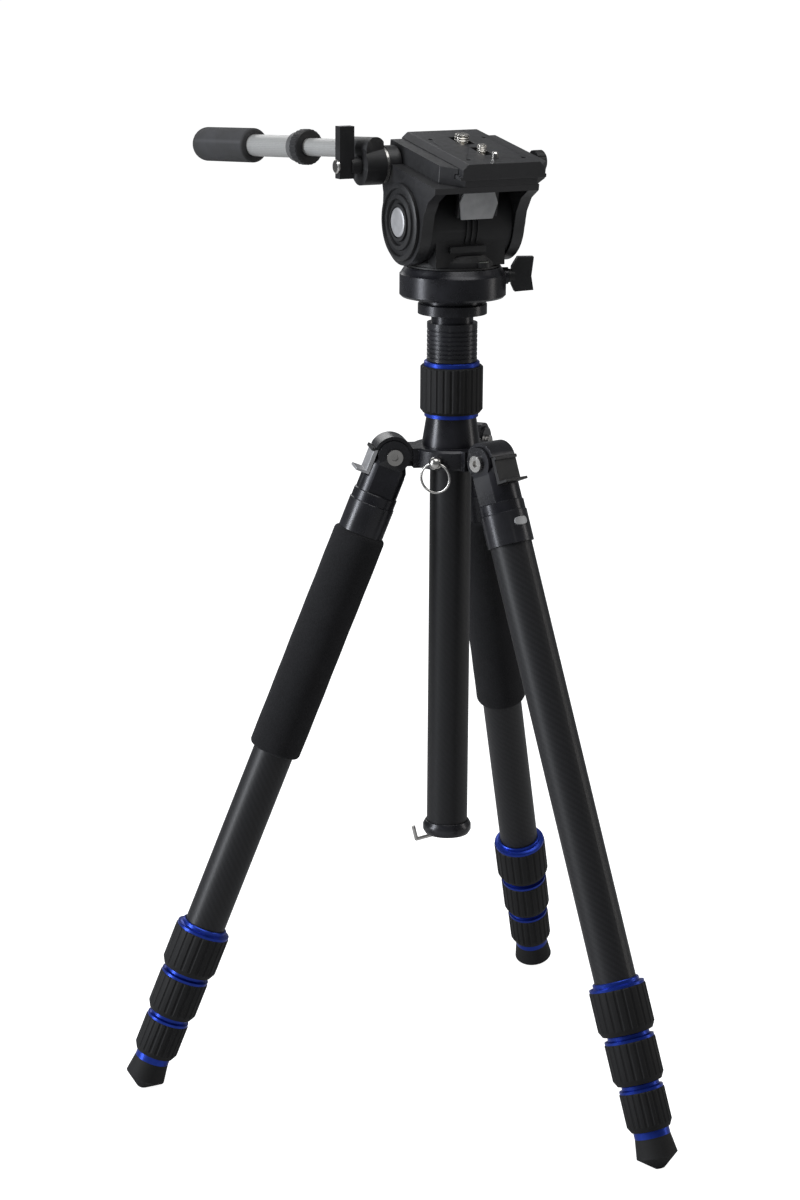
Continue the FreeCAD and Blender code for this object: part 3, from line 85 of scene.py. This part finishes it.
class Shader:
    """Short calls for building one material's nodes."""

    def __init__(self, name):
        self.material = bpy.data.materials.new(name)
        self.material.use_nodes = True
        self.tree = self.material.node_tree
        self.out = self.tree.nodes["Principled BSDF"]

    def add(self, kind, **settings):
        made = self.tree.nodes.new("ShaderNode" + kind)
        for key, value in settings.items():
            setattr(made, key, value)
        return made

    def put(self, socket, value):
        if isinstance(value, bpy.types.NodeSocket):
            self.tree.links.new(value, socket)
        else:
            socket.default_value = value

    def math(self, kind, first, second=0.0, third=0.0):
        made = self.add("Math", operation=kind)
        for socket, value in zip(made.inputs, (first, second, third)):
            self.put(socket, value)
        return made.outputs[0]

    def mix(self, factor, first, second):
        made = self.add("Mix", data_type="RGBA")
        self.put(made.inputs[0], factor)
        self.put(made.inputs[6], first)
        self.put(made.inputs[7], second)
        return made.outputs[2]

    def spread(self, value, low, high, to_low=0.0, to_high=1.0):
        made = self.add("MapRange")
        for socket, number in zip(made.inputs, (value, low, high, to_low, to_high)):
            self.put(socket, number)
        return made.outputs[0]

    def position(self):
        return self.add("TexCoord").outputs["Object"]

    def around(self):
        """(metres round the axis, metres along it) from the node's own map."""
        split = self.add("SeparateXYZ")
        self.put(split.inputs[0], self.add("UVMap", uv_map="round").outputs[0])
        return split.outputs[0], split.outputs[1]

    def noise(self, where, scale, detail=3.0, rough=0.55):
        made = self.add("TexNoise")
        self.put(made.inputs["Vector"], where)
        self.put(made.inputs["Scale"], scale)
        self.put(made.inputs["Detail"], detail)
        self.put(made.inputs["Roughness"], rough)
        return made.outputs[0]

    def noise_stretched(self, round_way, along, scale_round, scale_along):
        """Noise with one scale round the axis and another along it."""
        join = self.add("CombineXYZ")
        self.put(join.inputs[0], self.math("MULTIPLY", round_way, float(scale_round)))
        self.put(join.inputs[1], self.math("MULTIPLY", along, float(scale_along)))
        return self.noise(join.outputs[0], 1.0, 2)

    def cells(self, where, scale):
        made = self.add("TexVoronoi")
        self.put(made.inputs["Vector"], where)
        self.put(made.inputs["Scale"], scale)
        return made.outputs[0]

    def bump(self, height, depth, strength):
        made = self.add("Bump")
        self.put(made.inputs["Strength"], strength)
        self.put(made.inputs["Distance"], depth)
        self.put(made.inputs["Height"], height)
        return made.outputs[0]

    def worn(self):
        """1 on edges that stand out, from the mesh's own pointiness."""
        return self.spread(self.add("NewGeometry").outputs["Pointiness"], WORN_FROM, WORN_TO)

    def finish(self, **inputs):
        for key, value in inputs.items():
            self.put(self.out.inputs[key.replace("_", " ")], value)
        return self.material


def grey(value, blue=1.0):
    return (value, value, value * blue, 1.0)


# ---------------------------------------------------------------- materials
LATHE_RINGS = 24000.0              # radians of ring pattern for each metre
WEAVE_LINES = 3600.0               # radians of handle weave for each metre
WEAVE_SLANT = 0.7
TWILL = 4.0                        # tows before the twill repeats
TOW = 0.0012                       # width of one tow in metres
HAIR_ACROSS, HAIR_ALONG = 9000, 500     # noise scales across and along the fibres
QUARTER_INCH_PITCH = 0.00127
THREE_EIGHTHS_PITCH = 0.00159


def black_alloy():
    """Satin black paint on cast or turned alloy, fine orange peel, brighter worn edges."""
    s = Shader("black_alloy")
    where = s.position()
    peel = s.noise(where, 900, 2)
    cloud = s.noise(where, 35, 4)
    colour = s.mix(s.spread(cloud, 0.35, 0.7), grey(0.008, 1.15), grey(0.014, 1.15))
    colour = s.mix(s.math("MULTIPLY", s.worn(), 0.4), colour, grey(0.05))
    rough = s.spread(s.noise(where, 240, 3), 0.3, 0.7, 0.36, 0.46)
    return s.finish(Base_Color=colour, Roughness=rough, Normal=s.bump(peel, 0.00006, 0.5),
                    Specular_IOR_Level=0.55)


def turned_alloy():
    """Black anodised alloy with the faint rings of a lathe."""
    s = Shader("turned_alloy")
    where = s.position()
    split = s.add("SeparateXYZ")
    s.put(split.inputs[0], where)
    rings = s.math("SINE", s.math("MULTIPLY", split.outputs[2], LATHE_RINGS))
    cloud = s.noise(where, 60, 4)
    colour = s.mix(s.spread(cloud, 0.35, 0.7), grey(0.009, 1.3), grey(0.016, 1.3))
    colour = s.mix(s.math("MULTIPLY", s.worn(), 0.45), colour, grey(0.09))
    return s.finish(Base_Color=colour, Metallic=0.35, Normal=s.bump(rings, 0.000004, 0.15),
                    Roughness=s.spread(cloud, 0.3, 0.7, 0.24, 0.32))


def black_plastic():
    """Moulded satin plastic with a fine spark texture."""
    s = Shader("black_plastic")
    where = s.position()
    grain = s.cells(where, 2600)
    cloud = s.noise(where, 70, 3)
    colour = s.mix(s.spread(cloud, 0.35, 0.7), grey(0.006, 1.1), grey(0.011, 1.1))
    colour = s.mix(s.math("MULTIPLY", s.worn(), 0.35), colour, grey(0.06))
    return s.finish(Base_Color=colour, Normal=s.bump(grain, 0.00008, 0.4), Specular_IOR_Level=0.4,
                    Roughness=s.spread(cloud, 0.3, 0.7, 0.44, 0.54))


def rubber(name, tone, rough, grain_scale, depth):
    """Matte rubber with a fine grain, dusty and paler on its worn edges."""
    s = Shader(name)
    where = s.position()
    grain = s.noise(where, grain_scale, 3, 0.7)
    dust = s.noise(where, 45, 5)
    colour = s.mix(s.spread(dust, 0.4, 0.75), grey(tone), grey(tone * 1.5, 1.08))
    colour = s.mix(s.math("MULTIPLY", s.worn(), 0.4), colour, grey(tone * 2.5, 1.05))
    return s.finish(Base_Color=colour, Normal=s.bump(grain, depth, 0.6), Specular_IOR_Level=0.28,
                    Roughness=s.spread(dust, 0.3, 0.7, rough, rough + 0.1))


def foam():
    """Closed-cell foam: fine open pores darkened with painted shade, soft sheen, slight dust."""
    s = Shader("foam")
    where = s.position()
    pores = s.cells(where, 1500)
    fine = s.noise(where, 2600, 3, 0.7)
    soft = s.noise(where, 60, 4)
    height = s.math("ADD", s.math("MULTIPLY", pores, 0.8), s.math("MULTIPLY", fine, 0.5))
    # Painted shade: the pore centres, which are the dents of the bump, are coloured darker.
    colour = s.mix(s.spread(pores, 0.1, 0.6), grey(0.005, 1.1), grey(0.013, 1.1))
    colour = s.mix(s.spread(soft, 0.45, 0.8, 0.0, 0.5), colour, grey(0.017, 1.1))
    return s.finish(Base_Color=colour, Roughness=0.95, Specular_IOR_Level=0.2, Sheen_Weight=0.03,
                    Normal=s.bump(height, 0.00022, 0.7))


def carbon(name, tow, contrast, tone):
    """Twill weave under a satin resin coat.  tow is the width of one tow in metres."""
    s = Shader(name)
    round_way, along = s.around()
    u = s.math("DIVIDE", round_way, tow)
    v = s.math("DIVIDE", along, tow)
    step = s.math("ADD", s.math("FLOOR", u), s.math("FLOOR", v))
    twill = s.math("LESS_THAN", s.math("FLOORED_MODULO", step, TWILL), TWILL / 2)
    across_u = s.math("SINE", s.math("MULTIPLY", s.math("FRACT", u), math.pi))
    across_v = s.math("SINE", s.math("MULTIPLY", s.math("FRACT", v), math.pi))
    swell = s.mix(twill, across_v, across_u)
    hairs_u = s.noise_stretched(round_way, along, HAIR_ACROSS, HAIR_ALONG)
    hairs_v = s.noise_stretched(round_way, along, HAIR_ALONG, HAIR_ACROSS)
    hairs = s.mix(twill, hairs_v, hairs_u)
    light = s.math("MULTIPLY_ADD", twill, contrast, 0.5 - contrast * 0.5)
    light = s.math("ADD", light, s.spread(hairs, 0.3, 0.7, -0.12, 0.12))
    colour = s.mix(light, grey(tone * 0.55, 1.1), grey(tone * 1.6, 1.1))
    normal = s.bump(swell, 0.00003, 0.35)
    return s.finish(Base_Color=colour, Normal=normal, Specular_IOR_Level=0.3, Coat_Weight=0.08,
                    Coat_Roughness=0.3, Roughness=s.spread(hairs, 0.3, 0.7, 0.42, 0.52))


def metal(name, colour, rough, brushed=0.0, dark=0.75, metallic=1.0):
    """Bare or anodised metal with fine scratches and slightly darker clouding."""
    s = Shader(name)
    where = s.position()
    cloud = s.noise(where, 120, 4)
    scratch = s.noise(where, 3000, 2)
    shade = tuple(part * dark for part in colour[:3]) + (1.0,)
    return s.finish(Base_Color=s.mix(s.spread(cloud, 0.3, 0.7), shade, colour), Metallic=metallic,
                    Roughness=s.spread(scratch, 0.3, 0.7, rough, rough + 0.08 + brushed),
                    Normal=s.bump(scratch, 0.00002, 0.2))


def threaded(name, pitch):
    """Bright screw with a thread round its own axis."""
    s = Shader(name)
    round_way, along = s.around()
    turns = s.math("SINE", s.math("MULTIPLY", along, math.tau / pitch))
    cloud = s.noise(s.position(), 400, 3)
    colour = s.mix(s.spread(cloud, 0.3, 0.7), (0.50, 0.48, 0.44, 1), (0.64, 0.62, 0.58, 1))
    return s.finish(Base_Color=colour, Metallic=0.95, Normal=s.bump(turns, pitch * 0.25, 0.9),
                    Roughness=s.spread(cloud, 0.3, 0.7, 0.22, 0.32))


def grey_weave():
    """Grey handle tube: fine diagonal weave under satin lacquer."""
    s = Shader("grey_weave")
    round_way, along = s.around()
    slant = s.math("ADD", s.math("MULTIPLY", round_way, WEAVE_SLANT), along)
    other = s.math("SUBTRACT", s.math("MULTIPLY", round_way, WEAVE_SLANT), along)
    lines = s.math("MULTIPLY", s.math("SINE", s.math("MULTIPLY", slant, WEAVE_LINES)),
                   s.math("SINE", s.math("MULTIPLY", other, WEAVE_LINES)))
    hairs = s.noise_stretched(round_way, along, 3000, 400)
    light = s.math("ADD", s.spread(lines, -1, 1, 0.2, 0.8), s.spread(hairs, 0.3, 0.7, -0.2, 0.2))
    return s.finish(Base_Color=s.mix(light, grey(0.24, 0.98), grey(0.42, 0.97)), Metallic=0.25,
                    Roughness=0.42, Normal=s.bump(lines, 0.00003, 0.3), Coat_Weight=0.2,
                    Coat_Roughness=0.3)


def glass_vial():
    """Liquid of the bubble level under clear glass."""
    s = Shader("level_liquid")
    where = s.position()
    cloud = s.noise(where, 300, 2)
    return s.finish(Base_Color=s.mix(cloud, (0.20, 0.21, 0.19, 1), (0.30, 0.31, 0.28, 1)),
                    Roughness=0.08, Coat_Weight=1.0, Coat_Roughness=0.03)


PAINT = {
    "black_alloy": black_alloy(),
    "turned_alloy": turned_alloy(),
    "black_plastic": black_plastic(),
    "lock_rubber": rubber("lock_rubber", 0.0065, 0.62, 1500, 0.0001),
    "foot_rubber": rubber("foot_rubber", 0.008, 0.68, 900, 0.00015),
    "grip_rubber": rubber("grip_rubber", 0.036, 0.80, 2200, 0.00015),
    "foam": foam(),
    "carbon_woven": carbon("carbon_woven", TOW, 0.30, 0.011),
    "carbon_plain": carbon("carbon_plain", TOW, 0.14, 0.0095),
    "blue": metal("blue_anodised", (0.018, 0.050, 0.38, 1), 0.30, dark=0.7, metallic=0.8),
    "steel": metal("steel", (0.60, 0.585, 0.56, 1), 0.20),
    "silver": metal("silver_alloy", (0.50, 0.50, 0.51, 1), 0.36, brushed=0.06, metallic=0.5),
    "badge": metal("badge_grey", (0.42, 0.424, 0.43, 1), 0.42, brushed=0.05, metallic=0.3),
    "grey_weave": grey_weave(),
    "thread_small": threaded("thread_small", QUARTER_INCH_PITCH),
    "thread_big": threaded("thread_big", THREE_EIGHTHS_PITCH),
    "knurl_grey": metal("knurl_grey", (0.13, 0.13, 0.13, 1), 0.40, metallic=0.4),
    "vial": glass_vial(),
}


# ---------------------------------------------------------------- painting the CAD nodes
def paint(name, *keys):
    """Give a node its materials, the first one everywhere."""
    mesh = nodes[name].data
    mesh.materials.clear()
    for key in keys:
        mesh.materials.append(PAINT[key])
    for face in mesh.polygons:
        face.material_index = 0


def paint_where(name, matrix, rule):
    """Number each face's material by a rule of (radius, height, x, y) in a local frame."""
    inverse = matrix.inverted()
    for face in nodes[name].data.polygons:
        x, y, z = (inverse @ face.center) / MM
        face.material_index = rule(math.hypot(x, y), z, x, y)


def map_round(mesh, matrix):
    """A map of metres round a local Z axis and metres along it."""
    inverse = matrix.inverted()
    layer = mesh.uv_layers.new(name="round")
    local = [inverse @ vertex.co for vertex in mesh.vertices]
    radius = max(math.hypot(p.x, p.y) for p in local)
    for face in mesh.polygons:
        first = None
        for loop in face.loop_indices:
            p = local[mesh.loops[loop].vertex_index]
            angle = math.atan2(p.y, p.x)
            if first is None:
                first = angle
            angle -= round((angle - first) / math.tau) * math.tau
            layer.data[loop].uv = (angle * radius, p.z)


WELD_DISTANCE = 0.00001
BEVEL_WIDTH = 0.35                 # millimetres
BEVEL_SEGMENTS = 2
BEVEL_ANGLE = 32                   # degrees between faces that count as an edge


def soften(name):
    """Weld the imported mesh and round its sharp edges."""
    thing = nodes[name]
    if "custom_normal" in thing.data.attributes:
        thing.data.attributes.remove(thing.data.attributes["custom_normal"])
    weld = thing.modifiers.new("weld", "WELD")
    weld.merge_threshold = WELD_DISTANCE
    bevel = thing.modifiers.new("rounded", "BEVEL")
    bevel.width = BEVEL_WIDTH * MM
    bevel.segments = BEVEL_SEGMENTS
    bevel.limit_method = "ANGLE"
    bevel.angle_limit = math.radians(BEVEL_ANGLE)
    bevel.use_clamp_overlap = True
    bevel.harden_normals = True
    for face in thing.data.polygons:
        face.use_smooth = True


# Sizes in millimetres, each in the local frame of its piece.
TUBE = (14.0, 12.5, 11.0)          # outer radii of the leg sections that carry a lock
CATCH_SILVER_FROM = 2.5
NUT_WALL = 1.6
RING_HEIGHT = 5.0
NUT_EDGE = 0.03                    # faces this far out of the nut are rubber
RING_EDGE = 0.02
FOOT_RUBBER_AT = 35.75
FOAM_SPAN = (56.65, 218.45)
FOAM_WALL = 3.95
COLUMN_GRIP_RADIUS = 18.65
COLUMN_GRIP_SPAN = (2.52, 34.38)
VIAL_AT = (26.5, 7.5)
VIAL_RADIUS = 4.36
VIAL_SPAN = (-27, -24.5)
CAP_CENTRE_RADIUS = 9.7
CAP_FACE_AT = -39.8
COLLAR_STEP = 7.3
for side in SIDES:
    label = "leg_" + side
    frame_here = leg_axes(side)
    paint(label + "_casting", "turned_alloy")
    paint(label + "_catch", "black_plastic", "silver")
    if side == "left":
        paint_where(label + "_catch", frame_here, lambda r, z, x, y: int(z > CATCH_SILVER_FROM))
    for number in (1, 2, 3, 4):
        tube = "%s_tube_%d" % (label, number)
        paint(tube, "carbon_woven")
        map_round(nodes[tube].data, frame_here)
    for number in (1, 2, 3):
        lock = "%s_lock_%d" % (label, number)
        nut = TUBE[number - 1] + NUT_WALL
        paint(lock, "blue", "lock_rubber")
        paint_where(lock, along_joint(lock + "_twist"),
                    lambda r, z, x, y: int(r > nut + NUT_EDGE and z > RING_HEIGHT + RING_EDGE))
    paint(label + "_foot", "blue", "foot_rubber")
    paint_where(label + "_foot", along_joint(label + "_lock_3_twist"),
                lambda r, z, x, y: int(z > FOOT_RUBBER_AT))

for name in ("shoulder", "column_top", "column_cap", "pan_base"):
    paint(name, "turned_alloy")
for name in ("tilt_cradle", "plate_clamp", "camera_plate"):
    paint(name, "black_alloy")
for name in ("pan_lock", "tilt_knob", "plate_knob", "wing_lever", "handle_joint"):
    paint(name, "black_plastic")
for name in ("hinge_bolts", "tie_ring", "hook", "rosette_bolt", "guide_pin"):
    paint(name, "steel")
for size in ("big", "small"):
    paint("screw_" + size, "thread_" + size)
    map_round(nodes["screw_" + size].data, along_joint("screw_%s_turn" % size))
paint("front_badge", "badge")
paint("column_tube", "carbon_plain")
map_round(nodes["column_tube"].data, UPRIGHT)
paint("column_lock", "blue", "lock_rubber")
paint_where("column_lock", along_joint("column_lock_twist"),
            lambda r, z, x, y: int(r > COLUMN_GRIP_RADIUS
                                   and COLUMN_GRIP_SPAN[0] < z < COLUMN_GRIP_SPAN[1]))
paint("head_housing", "black_plastic", "vial")
paint_where("head_housing", HEAD,
            lambda r, z, x, y: int(math.hypot(x - VIAL_AT[0], y - VIAL_AT[1]) < VIAL_RADIUS
                                   and VIAL_SPAN[0] < z < VIAL_SPAN[1]))
paint("side_cap", "black_plastic", "silver")
paint_where("side_cap", TILT_AXIS,
            lambda r, z, x, y: int(r < CAP_CENTRE_RADIUS and z < CAP_FACE_AT))
for name in ("handle_inner", "handle_outer"):
    paint(name, "grey_weave")
    map_round(nodes[name].data, HANDLE)
paint("handle_collar", "black_plastic", "knurl_grey")
paint_where("handle_collar", HANDLE, lambda r, z, x, y: int(z > COLLAR_STEP))
paint("handle_grip", "grip_rubber")


FOAM_ROLL = 3.2                    # radius of the rolled ends
FOAM_FIT = 0.12                    # gap between the foam and the tube
FOAM_LIP = ((0, 1.0), (0.35, 0.35), (0.9, 0))     # out from the bore, in from the end
FOAM_DENTED = 0.6                  # depth of the skin that is uneven
FOAM_ROUND = 72                    # vertices round the grip
ROLL_STEPS = 6
FOAM_STEPS = 40                    # rings along the straight stretch
PLATE_HALF_WIDE, PLATE_HALF_TALL = 5.4, 2.7
PLATE_SEAT, PLATE_FACE = 15.55, 16.05           # from the leg's axis
PLATE_CHAMFER, PLATE_DISH = 0.2, 0.15
PLATE_SQUARE = (0.62, 0.8)         # powers that square off the oval, wide and tall
PLATE_DOWN = 43.0                  # along the leg from its hinge
PLATE_ROUND = 48


def join_rings(made, first, second):
    """Faces between two closed rings of as many vertices."""
    for k in range(len(first)):
        after = (k + 1) % len(first)
        made.faces.new((first[k], first[after], second[after], second[k]))


def foam_grip(side):
    """A foam sleeve with rolled ends, slightly uneven along its length."""
    label = "leg_" + side
    matrix = leg_axes(side)
    tube, outer = TUBE[0] + FOAM_FIT, TUBE[0] + FOAM_WALL
    low, high = FOAM_SPAN
    roll = FOAM_ROLL
    profile = [(tube + out, low + inward) for out, inward in FOAM_LIP]
    for step in range(ROLL_STEPS + 1):
        turn = math.pi * 0.5 * step / ROLL_STEPS
        profile.append((outer - roll + roll * math.sin(turn), low + roll - roll * math.cos(turn)))
    for step in range(1, FOAM_STEPS):
        profile.append((outer, low + roll + (high - low - 2 * roll) * step / FOAM_STEPS))
    for step in range(ROLL_STEPS + 1):
        turn = math.pi * 0.5 * step / ROLL_STEPS
        profile.append((outer - roll + roll * math.cos(turn), high - roll + roll * math.sin(turn)))
    profile += [(tube + out, high - inward) for out, inward in reversed(FOAM_LIP)]
    made = bmesh.new()
    rings = []
    for radius, height in profile:
        ring = []
        for k in range(FOAM_ROUND):
            angle = math.tau * k / FOAM_ROUND
            dent = 0.0
            if radius > outer - FOAM_DENTED:
                dent = 0.10 + 0.06 * math.sin(height * 0.21 + 2 * angle) \
                    + 0.05 * math.sin(height * 0.067 + 3 * angle + 1.3)
            r = radius - max(dent, 0.0)
            ring.append(made.verts.new(matrix @ (Vector((r * math.cos(angle),
                                                          r * math.sin(angle), height)) * MM)))
        rings.append(ring)
    for first, second in zip(rings, rings[1:] + rings[:1]):
        join_rings(made, first, second)
    bmesh.ops.recalc_face_normals(made, faces=made.faces)
    mesh = bpy.data.meshes.new("foam_grip_" + side)
    made.to_mesh(mesh)
    made.free()
    for face in mesh.polygons:
        face.use_smooth = True
    mesh.materials.append(PAINT["foam"])
    grip = bpy.data.objects.new("foam_grip_" + side, mesh)
    bpy.context.scene.collection.objects.link(grip)
    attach(grip, label)
    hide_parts(label + "_foam")


for side in FOAM_SIDES:
    foam_grip(side)


def socket_plate():
    """A small bare oval plate let into the front leg's socket."""
    matrix = leg_axes("front")
    seat, face = PLATE_SEAT, PLATE_FACE
    dish = face - PLATE_DISH
    rims = ((1.0, seat), (1.0, face - PLATE_CHAMFER), (0.965, face), (0.86, face),
            (0.83, dish), (0.55, dish), (0.28, dish))
    made = bmesh.new()
    rings = []
    for share, radius in rims:
        ring = []
        for k in range(PLATE_ROUND):
            angle = math.tau * k / PLATE_ROUND
            wide, tall = math.cos(angle), math.sin(angle)
            across = PLATE_HALF_WIDE * share * math.copysign(abs(wide) ** PLATE_SQUARE[0], wide)
            down = PLATE_HALF_TALL * share * math.copysign(abs(tall) ** PLATE_SQUARE[1], tall)
            turn = across / radius
            spot = Vector((radius * math.cos(turn), radius * math.sin(turn), PLATE_DOWN + down))
            ring.append(made.verts.new(matrix @ (spot * MM)))
        rings.append(ring)
    for first, second in zip(rings, rings[1:]):
        join_rings(made, first, second)
    made.faces.new(rings[-1])
    made.faces.new(tuple(reversed(rings[0])))
    bmesh.ops.recalc_face_normals(made, faces=made.faces)
    mesh = bpy.data.meshes.new("socket_plate")
    made.to_mesh(mesh)
    made.free()
    mesh.materials.append(PAINT["badge"])
    plate = bpy.data.objects.new("socket_plate", mesh)
    bpy.context.scene.collection.objects.link(plate)
    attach(plate, "leg_front")


socket_plate()

NOT_SOFTENED = ("hook", "tie_ring", "handle_inner", "handle_outer")
for name in nodes:
    if "_foam" not in name and "_tube" not in name and name not in NOT_SOFTENED:
        soften(name)


# ---------------------------------------------------------------- floor, light and camera
FLOOR_SIZE = 160                   # metres
FLOOR_GLOW = 0.95
WORLD_FILL = 0.17
LENS = 86.634                      # millimetres, on a sensor 36 mm along its longer side
SENSOR = 36
CLIP_END = 50                      # metres
CAMERA_BACK, CAMERA_HEIGHT = 1.9024, 0.8238     # metres
PITCH, ROLL, YAW = 0.2489, 0.0064, -0.0176      # radians


def seen_only(tree, plain, seen):
    """A shader that is one thing to camera rays and another to all other rays."""
    path = tree.nodes.new("ShaderNodeLightPath")
    choose = tree.nodes.new("ShaderNodeMixShader")
    tree.links.new(path.outputs["Is Camera Ray"], choose.inputs[0])
    tree.links.new(plain, choose.inputs[1])
    tree.links.new(seen, choose.inputs[2])
    return choose.outputs[0]


def stage():
    """A wide pale floor that stays white to the horizon, and a soft even fill."""
    bpy.ops.mesh.primitive_plane_add(size=FLOOR_SIZE, location=(0, 0, 0))
    floor = bpy.context.object
    floor.name = "floor"
    s = Shader("floor")
    cloud = s.noise(s.position(), 1.5, 2)
    floor.data.materials.append(s.finish(
        Base_Color=s.mix(cloud, grey(0.50), grey(0.54)), Roughness=0.9, Specular_IOR_Level=0.1))
    glow = s.add("Emission")
    glow.inputs[1].default_value = FLOOR_GLOW
    both = s.add("AddShader")
    s.put(both.inputs[0], s.out.outputs[0])
    s.put(both.inputs[1], glow.outputs[0])
    shader = seen_only(s.tree, s.out.outputs[0], both.outputs[0])
    s.tree.links.new(shader, s.tree.nodes["Material Output"].inputs[0])
    world = bpy.data.worlds.new("studio")
    bpy.context.scene.world = world
    world.use_nodes = True
    tree = world.node_tree
    seen = tree.nodes["Background"]
    seen.inputs[0].default_value = (1, 1, 1, 1)
    seen.inputs[1].default_value = 1.0
    fill = tree.nodes.new("ShaderNodeBackground")
    fill.inputs[0].default_value = (0.93, 0.96, 1.0, 1)
    fill.inputs[1].default_value = WORLD_FILL
    shader = seen_only(tree, fill.outputs[0], seen.outputs[0])
    tree.links.new(shader, tree.nodes["World Output"].inputs[0])


def softbox(name, place, aim, wide, tall, watts, tint=(1, 1, 1)):
    """A rectangular area light at a place, turned to a point."""
    light = bpy.data.lights.new(name, "AREA")
    light.shape = "RECTANGLE"
    light.size = wide
    light.size_y = tall
    light.energy = watts
    light.color = tint
    thing = bpy.data.objects.new(name, light)
    bpy.context.scene.collection.objects.link(thing)
    thing.location = place
    thing.rotation_euler = (Vector(aim) - Vector(place)).to_track_quat("-Z", "Y").to_euler()


def camera():
    """Long lens a little above the tripod, turned down and slightly to one side."""
    forward = Vector((math.sin(YAW) * math.cos(PITCH), math.cos(YAW) * math.cos(PITCH),
                      -math.sin(PITCH)))
    right = Vector((math.cos(YAW), -math.sin(YAW), 0))
    up = right.cross(forward)
    side = right * math.cos(ROLL) + up * math.sin(ROLL)
    top = up * math.cos(ROLL) - right * math.sin(ROLL)
    data = bpy.data.cameras.new("camera")
    data.sensor_fit = "AUTO"
    data.sensor_width = SENSOR
    data.lens = LENS
    data.clip_end = CLIP_END
    thing = bpy.data.objects.new("camera", data)
    bpy.context.scene.collection.objects.link(thing)
    thing.matrix_world = axes(side, top, -forward, Vector((0, -CAMERA_BACK, CAMERA_HEIGHT)))
    bpy.context.scene.camera = thing


stage()
softbox("top", (0.3, -0.4, 2.4), (0, 0, 0.3), 1.6, 1.6, 26)
softbox("left", (-2.2, -0.75, 1.1), (0, 0, 0.4), 0.5, 2.0, 62, (0.92, 0.95, 1.0))
softbox("right", (2.4, 0.2, 1.0), (0, 0, 0.35), 0.5, 2.0, 10, (1.0, 0.97, 0.94))
softbox("back", (-0.8, 2.4, 1.7), (0, 0, 0.4), 1.4, 1.4, 12)
camera()
bpy.context.scene.view_settings.view_transform = "Standard"
